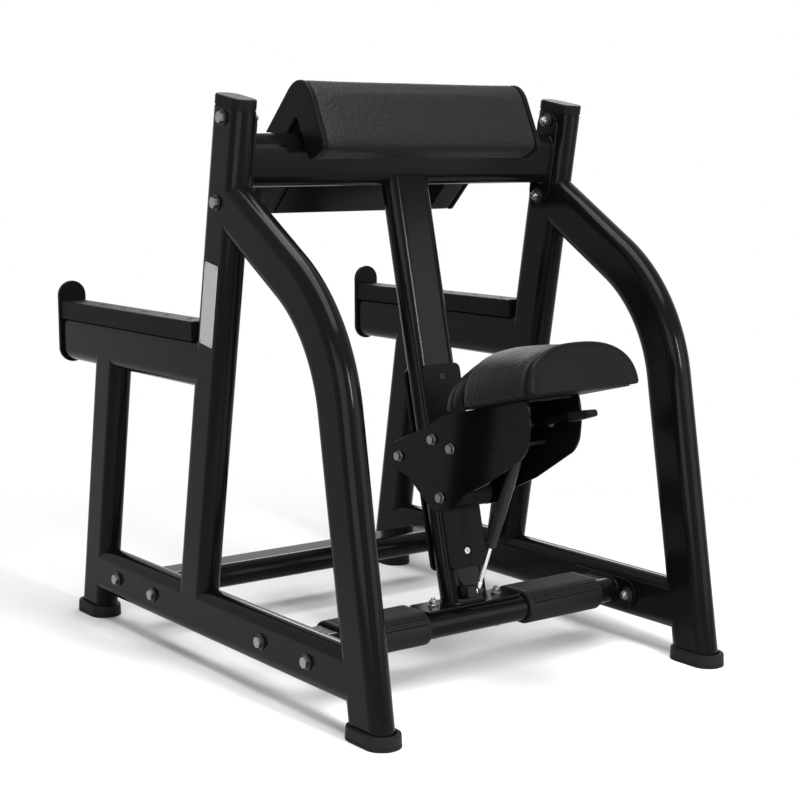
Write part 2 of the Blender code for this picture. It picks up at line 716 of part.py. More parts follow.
def make_bolt_pair(name, datum, matrix, sizes, material, holed):
    """Two bolts with washers and nuts, held apart inside the tube by a crush bar.

    Local Z runs from the heads to the nuts and starts at the tube's face. Local X runs from bolt to bolt.
    """
    bm = bmesh.new()
    for x in (-sizes["half_pitch"], sizes["half_pitch"]):
        spot = Matrix.Translation((x, 0, 0))
        head_face = -FIT - WASHER_THICKNESS
        nut_face = sizes["grip"] + FIT + WASHER_THICKNESS
        tip = nut_face + NUT_HEIGHT + BOLT_TIP
        shank = circle_points(sizes["diameter"] / 2, SHANK_STEPS)
        washer = circle_points(sizes["washer"] / 2, WASHER_STEPS)
        hexagon = circle_points(sizes["flats"] / 2 / cos(pi / 6), 6)
        add_prism(bm, shank, head_face - sizes["head"] / 2, tip, spot)
        add_prism(bm, washer, head_face, -FIT, spot)
        add_prism(bm, hexagon, head_face - sizes["head"], head_face + HEAD_SINK, spot)
        add_prism(bm, washer, sizes["grip"] + FIT, nut_face, spot)
        add_prism(bm, hexagon, nut_face - HEAD_SINK, nut_face + NUT_HEIGHT, spot)
    pair = place(name, finish_mesh(bm, name), datum, matrix, material)
    end = sizes["half_pitch"] + sizes["diameter"]
    side = CRUSH_BAR_WIDTH / 2
    gap = TUBE_WALL + FIT
    crush_bar = prism_mesh(
        name + "_crush_bar", box_points(-end, end, -side, side), gap, TUBE_SHORT - gap
    )
    combine(pair, helper(name + "_crush_bar", crush_bar, datum, matrix), "UNION", own_shells=True)

    holes = bmesh.new()
    for x in (-sizes["half_pitch"], sizes["half_pitch"]):
        ring = circle_points(sizes["diameter"] / 2 + HOLE_CLEARANCE, SHANK_STEPS, (x, 0))
        add_prism(holes, ring, -HOLE_CLEARANCE, sizes["grip"] + HOLE_CLEARANCE)
    hole_helper = helper(name + "_holes", finish_mesh(holes, name + "_holes"), datum, matrix)
    for piece in holed:
        cut(piece, hole_helper)


def make_foot_grip(name, datum, x_low, material):
    """A rubber sleeve round the foot crossbar, ribbed lengthwise over its top and front."""
    centre_reach = (TUBE_LONG - TUBE_SHORT) / 2
    ribbed = []
    outline = oval_points(TUBE_LONG + 2 * GRIP_WALL, TUBE_SHORT + 2 * GRIP_WALL, 2 * GRIP_RIBS)
    for index, point in enumerate(outline):
        middle = Vector((centre_reach if point.x > 0 else -centre_reach, 0))
        outward = (point - middle).normalized()
        crest = index % 2 == 0 and (outward.y > 0 or point.x < 0)
        ribbed.append(point if crest else point - outward * GRIP_RIB_HEIGHT)
    bm = bmesh.new()
    add_prism(bm, ribbed, x_low, x_low + GRIP_LENGTH)
    caps = [face for face in bm.faces if len(face.verts) > 4]
    rim = list({edge for face in caps for edge in face.edges})
    bmesh.ops.bevel(bm, geom=rim, offset=GRIP_EDGE, segments=1, profile=0.5, affect="EDGES", material=-1)
    matrix = frame((0, FOOT_BAR_Y, RAIL_HEIGHT), ACROSS, REARWARD)
    grip = place(name, finish_mesh(bm, name), datum, matrix, material)
    bore = oval_points(TUBE_LONG + 2 * FIT, TUBE_SHORT + 2 * FIT)
    bore_mesh = prism_mesh(name + "_bore", bore, x_low - GRIP_WALL, x_low + GRIP_LENGTH + GRIP_WALL)
    cut(grip, helper(name + "_bore", bore_mesh, datum, matrix))


# Seat post

def make_seat_post(datum, post_axis, upper_shadow, finish):
    """A leaning tube on a flat base plate, coped to the upper crossbar."""
    low = POST_BASE_BOTTOM / cos(POST_LEAN) - TUBE_SHORT
    outer = prism_mesh("seat_post", oval_points(TUBE_LONG, TUBE_SHORT), low, POST_TOP)
    post = place("seat_post", outer, post_axis, Matrix.Identity(4), finish["coat"])
    half = POST_BASE_LENGTH / 2
    plate = prism_mesh(
        "post_base", box_points(-half, half, -POST_BASE_WIDTH / 2, POST_BASE_WIDTH / 2, POST_BASE_CORNER),
        POST_BASE_BOTTOM, POST_BASE_BOTTOM + POST_BASE_THICKNESS
    )
    base_place = Matrix.Translation((0, FOOT_BAR_Y + POST_BASE_SHIFT, 0))
    combine(post, helper("post_base", plate, datum, base_place), "UNION")
    inside = oval_points(TUBE_LONG - 2 * TUBE_WALL, TUBE_SHORT - 2 * TUBE_WALL)
    bore_mesh = prism_mesh("seat_post_bore", inside, low - TUBE_LONG, POST_TOP + TUBE_LONG)
    bore = helper("seat_post_bore", bore_mesh, post_axis)
    below = prism_mesh("post_foot", box_points(-1, 1, -1, 1), -1, POST_BASE_BOTTOM)
    cut(post, bore, helper("post_foot", below, datum), upper_shadow)
    return post


def make_guide_strip(name, post_axis, sign, screw_holes, finish):
    """A low-friction strip that a roller runs on. sign is -1 on the post's front and 1 on its rear."""
    half = GUIDE_WIDTH / 2
    points = box_points(-half, half, GUIDE_BOTTOM, GUIDE_TOP, GUIDE_CORNER)
    face = POST_FRONT + FIT
    matrix = frame((0, sign * face, 0), (0, sign, 0), (-sign, 0, 0))
    strip = place(name, prism_mesh(name, points, 0, GUIDE_THICKNESS), post_axis, matrix, finish["strip"])
    cut(strip, screw_holes)
    return strip


def make_guide_screw(name, post_axis, sign, finish):
    """A countersunk screw, flush with the guide strip, through the strip and the post's wall."""
    top = GUIDE_THICKNESS
    radius = GUIDE_SCREW_DIAMETER / 2
    profile = [
        (0, top - GUIDE_SCREW_LENGTH),
        (radius, top - GUIDE_SCREW_LENGTH),
        (radius, top - GUIDE_SCREW_HEAD_DEPTH),
        (GUIDE_SCREW_HEAD_RADIUS, top - FIT),
        (0, top - FIT),
    ]
    bm = bmesh.new()
    add_turned(bm, profile, 12)
    face = POST_FRONT + FIT
    matrix = frame((0, sign * face, GUIDE_SCREW_HEIGHT), (0, sign, 0), ACROSS)
    place(name, finish_mesh(bm, name), post_axis, matrix, finish["zinc"])


def guide_screw_holes(post_axis):
    """The clearance of both countersunk screws, from the rear strip's face to the front one's."""
    reach = GUIDE_FACE
    radius = GUIDE_SCREW_DIAMETER / 2 + HOLE_CLEARANCE
    mouth = GUIDE_SCREW_HEAD_RADIUS + HOLE_CLEARANCE
    sink = reach - GUIDE_SCREW_HEAD_DEPTH - HOLE_CLEARANCE
    slope = (mouth - radius) / (reach - sink)
    past = 0.002
    profile = [
        (0, -reach - past), (mouth + past * slope, -reach - past), (radius, -sink),
        (radius, sink), (mouth + past * slope, reach + past), (0, reach + past),
    ]
    bm = bmesh.new()
    add_turned(bm, profile, 12)
    matrix = frame((0, 0, GUIDE_SCREW_HEIGHT), REARWARD, ACROSS)
    return helper("guide_screw_holes", finish_mesh(bm, "guide_screw_holes"), post_axis, matrix)


# Seat carriage. Its outlines are (-distance ahead of the post's axis, height along the post).

def side_plate_points():
    """One carriage plate from the side: it wraps the rollers, and sweeps forward under the seat."""
    centres = {
        "seat front": (SUPPORT_PLATE_FRONT, SIDE_PLATE_TOP),
        "seat rear": (SUPPORT_PLATE_REAR, SIDE_PLATE_TOP),
        "spring stud": (SPRING_UPPER_AHEAD, SPRING_UPPER_HEIGHT),
    }
    for name, place_of_axle in axle_places().items():
        centres[name + " roller"] = place_of_axle
    corners = []
    for name, further, above, radius, steps in CARRIAGE_PLATE:
        ahead, height = centres[name]
        corners.append((-ahead - further, height + above, radius, steps))
    return [Vector(point) for point in reversed(rounded_points(corners))]


def axle_places():
    """Where the rollers' axles cross the side plates, as (ahead, height) of each roller."""
    return {
        "upper": (ROLLER_AHEAD, UPPER_ROLLER_HEIGHT),
        "lower": (ROLLER_AHEAD, LOWER_ROLLER_HEIGHT),
        "rear": (-ROLLER_AHEAD, REAR_ROLLER_HEIGHT),
    }


def make_carriage(carriage, finish):
    """Side plates, rollers, axles and spacer. Rollers turn about their own empties."""
    spots = dict(axle_places(), spacer=(SPACER_AHEAD, SPACER_HEIGHT))
    holes = bmesh.new()
    reach = SIDE_PLATE_OUTER_X + HOLE_CLEARANCE
    for ahead, height in spots.values():
        ring = circle_points(AXLE_DIAMETER / 2 + HOLE_CLEARANCE, SHANK_STEPS, (-ahead, height))
        add_prism(holes, ring, -reach, reach, sideways(0))
    axle_holes = helper("axle_holes", finish_mesh(holes, "axle_holes"), carriage)

    stud = circle_points(STUD_RADIUS, WASHER_STEPS, (-SPRING_UPPER_AHEAD, SPRING_UPPER_HEIGHT))
    stud_start = CYLINDER_RADIUS + UPPER_EYE_SIDE_GAP
    stud_end = SIDE_PLATE_OUTER_X - FIT
    for side, sign in (("left", -1), ("right", 1)):
        middle = sign * (SIDE_PLATE_INNER_X + SIDE_PLATE_THICKNESS / 2)
        half = SIDE_PLATE_THICKNESS / 2
        mesh = prism_mesh(side + "_carriage_plate", side_plate_points(), middle - half, middle + half)
        plate = place(side + "_carriage_plate", mesh, carriage, sideways(0), finish["coat"])
        stud_mesh = prism_mesh("spring_stud", stud, *sorted((sign * stud_start, sign * stud_end)))
        combine(plate, helper(side + "_spring_stud", stud_mesh, carriage, sideways(0)), "UNION")
        cut(plate, axle_holes)

    for name, (ahead, height) in axle_places().items():
        pivot = empty(name + "_roller_axis", carriage, Matrix.Translation((0, -ahead, height)))
        half = ROLLER_LENGTH / 2
        bore = AXLE_DIAMETER / 2 + HOLE_CLEARANCE
        rim = ROLLER_RADIUS - ROLLER_EDGE
        profile = [
            (bore, -half), (rim, -half), (ROLLER_RADIUS, -half + ROLLER_EDGE),
            (ROLLER_RADIUS, half - ROLLER_EDGE), (rim, half), (bore, half),
        ]
        bm = bmesh.new()
        add_turned(bm, profile, 16, ring=True)
        mesh = finish_mesh(bm, name + "_roller")
        place(name + "_guide_roller", mesh, pivot, frame((0, 0, 0), ACROSS, REARWARD), finish["strip"])

    for name, (ahead, height) in spots.items():
        make_axle_bolt(name, carriage, ahead, height, finish)


def make_axle_bolt(name, carriage, ahead, height, finish):
    """A bolt through both side plates, its head on the left. The spacer bolt wears a spacer tube."""
    outer = SIDE_PLATE_OUTER_X + FIT
    head_face = -outer - AXLE_WASHER_THICKNESS
    nut_face = outer + AXLE_WASHER_THICKNESS
    shank = circle_points(AXLE_DIAMETER / 2, SHANK_STEPS)
    hexagon = circle_points(AXLE_HEAD_FLATS / 2 / cos(pi / 6), 6)
    washer = circle_points(AXLE_WASHER_DIAMETER / 2, WASHER_STEPS)
    bm = bmesh.new()
    add_prism(bm, hexagon, head_face - AXLE_HEAD_HEIGHT, head_face + HEAD_SINK)
    add_prism(bm, washer, head_face, -outer)
    add_prism(bm, washer, outer, nut_face)
    add_prism(bm, hexagon, nut_face - HEAD_SINK, nut_face + AXLE_NUT_HEIGHT)
    if name == "spacer":
        inner = SIDE_PLATE_INNER_X - FIT
        add_prism(bm, circle_points(SPACER_TUBE_DIAMETER / 2, WASHER_STEPS), -inner, inner)
    title = name + ("_bolt" if name == "spacer" else "_roller_axle")
    matrix = frame((0, -ahead, height), ACROSS, REARWARD)
    bolt = place(title, finish_mesh(bm, title), carriage, matrix, finish["zinc"])
    tip = nut_face + AXLE_NUT_HEIGHT + AXLE_TIP
    core = prism_mesh(title + "_shank", shank, head_face - AXLE_HEAD_HEIGHT / 2, tip)
    combine(bolt, helper(title + "_shank", core, carriage, matrix), "UNION", own_shells=True)


# Seat

def seat_board_points():
    reach = SEAT_HALF_WIDTH - BOARD_INSET
    front = SEAT_FRONT - SEAT_LIP_LENGTH - FIT
    return box_points(-reach, reach, -front, -SEAT_REAR - BOARD_INSET, BOARD_CORNER)


def make_seat(carriage, finish):
    """The steel plate between the side plates, the board and the padded seat."""
    inner = SIDE_PLATE_INNER_X - FIT
    support = prism_mesh(
        "seat_support_plate", box_points(-inner, inner, -SUPPORT_PLATE_FRONT, -SUPPORT_PLATE_REAR),
        SIDE_PLATE_TOP - SUPPORT_PLATE_THICKNESS, SIDE_PLATE_TOP
    )
    place("seat_support_plate", support, carriage, Matrix.Identity(4), finish["coat"])
    board = prism_mesh("seat_board", seat_board_points(), BOARD_BOTTOM, BOARD_BOTTOM + BOARD_THICKNESS)
    place("seat_board", board, carriage, Matrix.Identity(4), finish["plastic"])
    place("seat_pad", seat_pad_mesh(), carriage, Matrix.Identity(4), finish["leather"])


def arch_points(half_width, height, fullness):
    """Half of a barrel's cross-section, from its left foot over the top to its right foot."""
    points = []
    for step in range(SEAT_ARCH_STEPS + 1):
        angle = pi - pi * step / SEAT_ARCH_STEPS
        x = abs(cos(angle)) ** (2 / fullness) * half_width * (1 if cos(angle) > 0 else -1)
        points.append((x, abs(sin(angle)) ** (2 / fullness) * height))
    return points


def seat_pad_mesh():
    """A barrel-topped cushion, highest towards its rear, its sewn end panel over the board's front edge."""
    sections = SEAT_REAR_BAND + SEAT_REAR_GROOVE + SEAT_BODY + SEAT_FRONT_GROOVE + SEAT_END_PANEL
    bm = bmesh.new()
    loops = []
    for ahead, width, height, fullness in sections:
        drop = SEAT_LIP_DROP if ahead > SEAT_FRONT - SEAT_LIP_LENGTH else 0.0
        verts = []
        for x, z in arch_points(SEAT_HALF_WIDTH * width, height + drop, fullness):
            verts.append(bm.verts.new((x, -ahead, SEAT_BOTTOM - drop + z)))
        loops.append([bm.edges.new((a, b)) for a, b in zip(verts, verts[1:] + verts[:1])])
    for before, after in zip(loops, loops[1:]):
        bmesh.ops.bridge_loops(bm, edges=before + after)
    for end in (loops[0], loops[-1]):
        bmesh.ops.edgeloop_fill(bm, edges=end)
    return finish_mesh(bm, "seat_pad")


# Release lever

def make_lever(carriage, finish):
    """A steel strip on a cross rod between the side plates, with a moulded grip at the front."""
    pivot_place = Matrix.Translation((0, -LEVER_PIVOT_AHEAD, LEVER_PIVOT_HEIGHT))
    pivot = empty("lever_axis", carriage, pivot_place)
    front = LEVER_FRONT - LEVER_PIVOT_AHEAD
    rear = LEVER_PIVOT_AHEAD - LEVER_REAR
    half = LEVER_DEPTH / 2
    arm = box_points(-front, rear, -half, half)
    lever = place(
        "release_lever", prism_mesh("release_lever", arm, -LEVER_WIDTH / 2, LEVER_WIDTH / 2), pivot,
        sideways(0), finish["coat"]
    )
    reach = SIDE_PLATE_INNER_X - FIT
    rod = prism_mesh("lever_rod", circle_points(LEVER_ROD_RADIUS, 12), -reach, reach)
    combine(lever, helper("lever_rod", rod, pivot, sideways(0)), "UNION")

    grip_rear = LEVER_GRIP_REAR - LEVER_PIVOT_AHEAD
    grip_front = LEVER_GRIP_FRONT - LEVER_PIVOT_AHEAD
    rear_half = LEVER_GRIP_DEPTH / 2
    tip_half = LEVER_GRIP_TIP_DEPTH / 2
    corners = [
        (-grip_front, -tip_half, LEVER_GRIP_CORNER, 3), (-grip_rear, -rear_half, LEVER_GRIP_EDGE, 1),
        (-grip_rear, rear_half, LEVER_GRIP_EDGE, 1), (-grip_front, tip_half, LEVER_GRIP_CORNER, 3),
    ]
    bm = bmesh.new()
    add_prism(bm, rounded_points(corners), -LEVER_GRIP_WIDTH / 2, LEVER_GRIP_WIDTH / 2)
    sides = [face for face in bm.faces if len(face.verts) > 4]
    rim = list({edge for face in sides for edge in face.edges})
    bmesh.ops.bevel(
        bm, geom=rim, offset=LEVER_GRIP_EDGE, segments=2, profile=0.5, affect="EDGES", material=-1
    )
    grip = place("lever_grip", finish_mesh(bm, "lever_grip"), pivot, sideways(0), finish["plastic"])
    socket = prism_mesh(
        "lever_socket", box_points(-front - FIT, rear, -LEVER_DEPTH / 2 - FIT, LEVER_DEPTH / 2 + FIT),
        -LEVER_WIDTH / 2 - FIT, LEVER_WIDTH / 2 + FIT
    )
    cut(grip, helper("lever_socket", socket, pivot, sideways(0)))


# Gas spring

def make_gas_spring(post_axis, finish):
    """A lockable gas spring from the post's front, through the carriage, to the studs under the seat."""
    ahead = SPRING_UPPER_AHEAD - SPRING_LOWER_AHEAD
    rise = SPRING_UPPER_HEIGHT - SPRING_LOWER_HEIGHT
    lean = atan2(ahead, rise)
    length = Vector((ahead, rise)).length
    lower = Matrix.Translation((0, -SPRING_LOWER_AHEAD, SPRING_LOWER_HEIGHT))
    axis = empty("gas_spring_axis", post_axis, lower @ Matrix.Rotation(lean, 4, "X"))

    body_low = length - EYE_RADIUS - CYLINDER_LENGTH
    body_high = length - EYE_RADIUS
    shoulder = body_high - CYLINDER_SHOULDER_LENGTH
    bore = ROD_RADIUS + HOLE_CLEARANCE
    inside = CYLINDER_RADIUS - CYLINDER_WALL
    profile = [
        (0, shoulder - CYLINDER_CAP_THICKNESS),
        (inside, shoulder - CYLINDER_CAP_THICKNESS),
        (inside, body_low + ROD_GUIDE_DEPTH),
        (bore, body_low + ROD_GUIDE_DEPTH),
        (bore, body_low),
        (CYLINDER_RADIUS - CYLINDER_ROLL_INSET, body_low),
        (CYLINDER_RADIUS, body_low + CYLINDER_ROLL_LENGTH),
        (CYLINDER_RADIUS, shoulder),
        (CYLINDER_NECK_RADIUS, shoulder + CYLINDER_TAPER_LENGTH),
        (CYLINDER_NECK_RADIUS, length),
        (0, length),
    ]
    bm = bmesh.new()
    add_turned(bm, profile, 16)
    mesh = finish_mesh(bm, "gas_cylinder")
    cylinder = place("gas_cylinder", mesh, axis, Matrix.Identity(4), finish["paint"])
    add_eye("gas_cylinder", cylinder, axis, length, CYLINDER_RADIUS)

    fitting_top = ROD_FITTING_START + ROD_FITTING_LENGTH
    profile = [
        (0, 0),
        (ROD_FITTING_NECK_RADIUS, 0),
        (ROD_FITTING_NECK_RADIUS, ROD_FITTING_START),
        (ROD_FITTING_RADIUS, ROD_FITTING_START + ROD_FITTING_TAPER),
        (ROD_FITTING_RADIUS, fitting_top),
        (ROD_RADIUS, fitting_top),
        (ROD_RADIUS, body_low + ROD_REACH_INSIDE),
        (0, body_low + ROD_REACH_INSIDE),
    ]
    bm = bmesh.new()
    add_turned(bm, profile, 12)
    rod = place("gas_rod", finish_mesh(bm, "gas_rod"), axis, Matrix.Identity(4), finish["chrome"])
    add_eye("gas_rod", rod, axis, 0.0, BRACKET_INNER_X - FIT - HOLE_CLEARANCE)
    make_spring_bracket(post_axis, finish)


def add_eye(name, piece, axis, height, half_width):
    """A cross barrel with a hole, at the end of the cylinder or of the rod."""
    spot = (0, 0, height)
    matrix = frame(spot, ACROSS, REARWARD)
    barrel = prism_mesh(name + "_eye", circle_points(EYE_RADIUS, 14), -half_width, half_width)
    combine(piece, helper(name + "_eye", barrel, axis, matrix), "UNION")
    reach = 2 * half_width
    hole = prism_mesh(name + "_eye_hole", circle_points(EYE_HOLE_RADIUS, 12), -reach, reach)
    cut(piece, helper(name + "_eye_hole", hole, axis, matrix))


def make_spring_bracket(post_axis, finish):
    """A block on the post's front, with a cross stud that holds the rod's eye."""
    low = POST_FRONT + FIT
    points = box_points(
        -low - BRACKET_DEPTH, -low, SPRING_LOWER_HEIGHT - BRACKET_HALF_HEIGHT,
        SPRING_LOWER_HEIGHT + BRACKET_HALF_HEIGHT, BRACKET_CORNER, 1
    )
    mesh = prism_mesh("spring_bracket", points, -BRACKET_OUTER_X, -BRACKET_INNER_X)
    bracket = place("spring_bracket", mesh, post_axis, sideways(0), finish["coat"])
    stud = prism_mesh(
        "lower_stud", circle_points(STUD_RADIUS, 12, (-SPRING_LOWER_AHEAD, SPRING_LOWER_HEIGHT)),
        -BRACKET_OUTER_X + HOLE_CLEARANCE, BRACKET_INNER_X + STUD_END
    )
    combine(bracket, helper("lower_stud", stud, post_axis, sideways(0)), "UNION")


# Arm pad

def pad_corners():
    """The corners of the arm pad from the side, as (Y, Z) vectors by name."""
    rearward = Vector((cos(PAD_REAR_SLOPE), -sin(PAD_REAR_SLOPE)))
    inward = Vector((-sin(PAD_REAR_SLOPE), -cos(PAD_REAR_SLOPE)))
    frontward = Vector((-sin(PAD_FRONT_SLOPE), -cos(PAD_FRONT_SLOPE)))
    front_inward = Vector((cos(PAD_FRONT_SLOPE), -sin(PAD_FRONT_SLOPE)))
    ridge = Vector((UPPER_BAR_CENTRE.y - PAD_RIDGE_AHEAD, UPPER_BAR_CENTRE.z + PAD_RIDGE_RISE))
    rear_outer = ridge + rearward * PAD_REAR_LENGTH
    nose_outer = ridge + frontward * PAD_FRONT_LENGTH
    return {
        "ridge": ridge,
        "rear_outer": rear_outer,
        "rear_inner": rear_outer + inward * PAD_THICKNESS,
        "void": ridge + rearward * PAD_VOID_START + inward * PAD_THICKNESS,
        "nose_inner": nose_outer + front_inward * PAD_NOSE_THICKNESS,
        "nose_outer": nose_outer,
    }


def pad_outline(inset):
    """The pad's side outline, drawn in by inset, or swollen on its outer faces if inset is negative."""
    at = pad_corners()
    rounds = {
        "ridge": (PAD_RIDGE_RADIUS, 2 * PAD_STEPS),
        "rear_outer": (PAD_OUTER_CORNER, 3),
        "rear_inner": (PAD_INNER_CORNER, 2),
        "void": (PAD_VOID_CORNER, 2),
        "nose_inner": (PAD_INNER_CORNER, 2),
        "nose_outer": (PAD_OUTER_CORNER, 3),
    }
    corners = [(*at[name], *rounds[name]) for name in at]
    points = split_long_edges([Vector(point) for point in rounded_points(corners)])
    arms = [(at[end] - at["void"]).normalized() for end in ("rear_inner", "nose_inner")]
    moved = []
    for index, point in enumerate(points):
        after = points[(index + 1) % len(points)]
        along = (after - points[index - 1]).normalized()
        depth = min(abs(arm.cross(point - at["void"])) for arm in arms)
        share = 1.0 if inset > 0 else min(1.0, depth / PAD_THICKNESS)
        moved.append(point + Vector((along.y, -along.x)) * inset * share)
    return moved


def split_long_edges(points):
    result = []
    for start, end in zip(points, points[1:] + points[:1]):
        parts = max(1, round((end - start).length / PAD_LONGEST_EDGE))
        result += [start.lerp(end, part / parts) for part in range(parts)]
    return result


def arm_pad_mesh():
    """The saddle-shaped pad: its faces swell a little between its drawn-in, rounded ends."""
    stations = []
    for step in range(PAD_END_STEPS + 1):
        angle = pi / 2 * step / PAD_END_STEPS
        stations.append((PAD_HALF_WIDTH - PAD_END_EDGE * (1 - cos(angle)), PAD_END_EDGE * (1 - sin(angle))))
    for width_share, crown_share in PAD_CROWN_STATIONS:
        stations.append((PAD_HALF_WIDTH * width_share, -PAD_CROWN * crown_share))
    full = stations + [(-x, inset) for x, inset in reversed(stations[:-1])]
    bm = bmesh.new()
    loops = []
    for x, inset in full:
        verts = [bm.verts.new((x, p.x, p.y)) for p in pad_outline(inset)]
        loops.append([bm.edges.new((a, b)) for a, b in zip(verts, verts[1:] + verts[:1])])
    for before, after in zip(loops, loops[1:]):
        bmesh.ops.bridge_loops(bm, edges=before + after)
    for end in (loops[0], loops[-1]):
        bmesh.ops.edgeloop_fill(bm, edges=end)
    return finish_mesh(bm, "arm_pad")


def make_arm_pad(datum, upper_shadow, finish):
    """The pad, the bent plate inside its void and the two brackets that stand on the upper crossbar."""
    place("arm_pad", arm_pad_mesh(), datum, Matrix.Identity(4), finish["leather"])
    at = pad_corners()
    rearward = (at["rear_inner"] - at["void"]).normalized()
    frontward = (at["nose_inner"] - at["void"]).normalized()
    half_angle = rearward.angle(frontward) / 2
    downward = (rearward + frontward).normalized()

    def bend(depth):
        return at["void"] + downward * depth / sin(half_angle)

    near = FIT
    far = near + PAD_PLATE_THICKNESS
    outer, inner = bend(near), bend(far)
    corners = [
        (*(outer + frontward * PAD_PLATE_FRONT), 0, 0),
        (*outer, PAD_PLATE_BEND, 4),
        (*(outer + rearward * PAD_PLATE_REAR), 0, 0),
        (*(inner + rearward * (PAD_PLATE_REAR - PAD_PLATE_THICKNESS / tan(half_angle))), 0, 0),
        (*inner, PAD_PLATE_BEND - PAD_PLATE_THICKNESS, 4),
        (*(inner + frontward * (PAD_PLATE_FRONT - PAD_PLATE_THICKNESS / tan(half_angle))), 0, 0),
    ]
    plate = prism_mesh(
        "arm_pad_plate", rounded_points(corners), -PAD_PLATE_HALF_WIDTH, PAD_PLATE_HALF_WIDTH
    )
    place("arm_pad_plate", plate, datum, sideways(0), finish["coat"])

    peak = bend(far + FIT)
    centre = Vector((UPPER_BAR_CENTRE.y, UPPER_BAR_CENTRE.z))
    corners = [
        (*(peak + frontward * PAD_BRACKET_FRONT), 0, 0),
        (*peak, PAD_PLATE_BEND - PAD_PLATE_THICKNESS, 3),
        (*(peak + rearward * PAD_BRACKET_REAR), 0, 0),
        (*centre, 0, 0),
    ]
    for side, x in (("left", -PAD_BRACKET_X), ("right", PAD_BRACKET_X)):
        name = side + "_pad_bracket"
        mesh = prism_mesh(name, rounded_points(corners), x - PAD_BRACKET_WIDTH / 2, x + PAD_BRACKET_WIDTH / 2)
        bracket = place(name, mesh, datum, sideways(0), finish["coat"])
        cut(bracket, upper_shadow)


def make_badge(centre, finish):
    """A bare plate held to the left upright's outer face by four rivets."""
    half_width = BADGE_WIDTH / 2
    half_length = BADGE_LENGTH / 2
    bm = bmesh.new()
    for x in (-1, 1):
        for y in (-1, 1):
            spot = (x * (half_length - BADGE_RIVET_INSET), y * (half_width - BADGE_RIVET_INSET))
            rivet = circle_points(BADGE_RIVET_RADIUS, 10, spot)
            add_prism(bm, rivet, BADGE_THICKNESS / 2, BADGE_THICKNESS + BADGE_RIVET_RISE)
    outline = box_points(-half_length, half_length, -half_width, half_width, BADGE_CORNER)
    plate = prism_mesh("badge_body", outline, 0, BADGE_THICKNESS)
    origin = upright_point(UPPER_BAR_HEIGHT - BADGE_DROP) - ACROSS * (TUBE_ROUND + FIT)
    matrix = frame(origin, -ACROSS, UPRIGHT_AXIS)
    badge = place("badge_plate", plate, centre, matrix, finish["aluminium"])
    combine(badge, helper("badge_rivets", finish_mesh(bm, "badge_rivets"), centre, matrix), "UNION")


def front_reach():
    """How far forward the bench reaches, at the tip of the lever's grip."""
    low = LEVER_PIVOT_HEIGHT - LEVER_GRIP_TIP_DEPTH / 2 + LEVER_GRIP_CORNER
    centre = LEVER_GRIP_FRONT - LEVER_GRIP_CORNER
    return POST_FOOT_Y + low * sin(POST_LEAN) - centre * cos(POST_LEAN) - LEVER_GRIP_CORNER


def clear_scene():
    for item in list(bpy.data.objects):
        bpy.data.objects.remove(item)


def make_finishes():
    return {
        "coat": make_material("black powder coat", (0.018, 0.018, 0.019), 0.38),
        "paint": make_material("black paint", (0.010, 0.010, 0.010), 0.30),
        "rubber": make_material("black rubber", (0.016, 0.016, 0.016), 0.70),
        "grip": make_material("ribbed grip rubber", (0.018, 0.018, 0.018), 0.65),
        "plastic": make_material("black moulded plastic", (0.025, 0.025, 0.026), 0.50),
        "strip": make_material("low-friction plastic", (0.014, 0.014, 0.014), 0.45),
        "leather": make_material("charcoal grained leather", (0.030, 0.030, 0.031), 0.50),
        "zinc": make_material("zinc plate", (0.42, 0.42, 0.43), 0.35, 1.0),
        "chrome": make_material("chrome plate", (0.60, 0.60, 0.61), 0.15, 1.0),
        "aluminium": make_material("brushed aluminium", (0.50, 0.50, 0.51), 0.40, 1.0),
    }


def frame_bolt_sizes():
    return {
        "half_pitch": BOLT_PITCH / 2,
        "diameter": BOLT_DIAMETER,
        "flats": BOLT_HEAD_FLATS,
        "head": BOLT_HEAD_HEIGHT,
        "washer": WASHER_DIAMETER,
        "grip": TUBE_SHORT + FIT + FLANGE_THICKNESS,
    }


def post_bolt_sizes():
    return {
        "half_pitch": POST_BOLT_HALF_SPAN,
        "diameter": POST_BOLT_DIAMETER,
        "flats": POST_BOLT_HEAD_FLATS,
        "head": POST_BOLT_HEAD_HEIGHT,
        "washer": POST_WASHER_DIAMETER,
        "grip": TUBE_SHORT + FIT + POST_BASE_THICKNESS,
    }


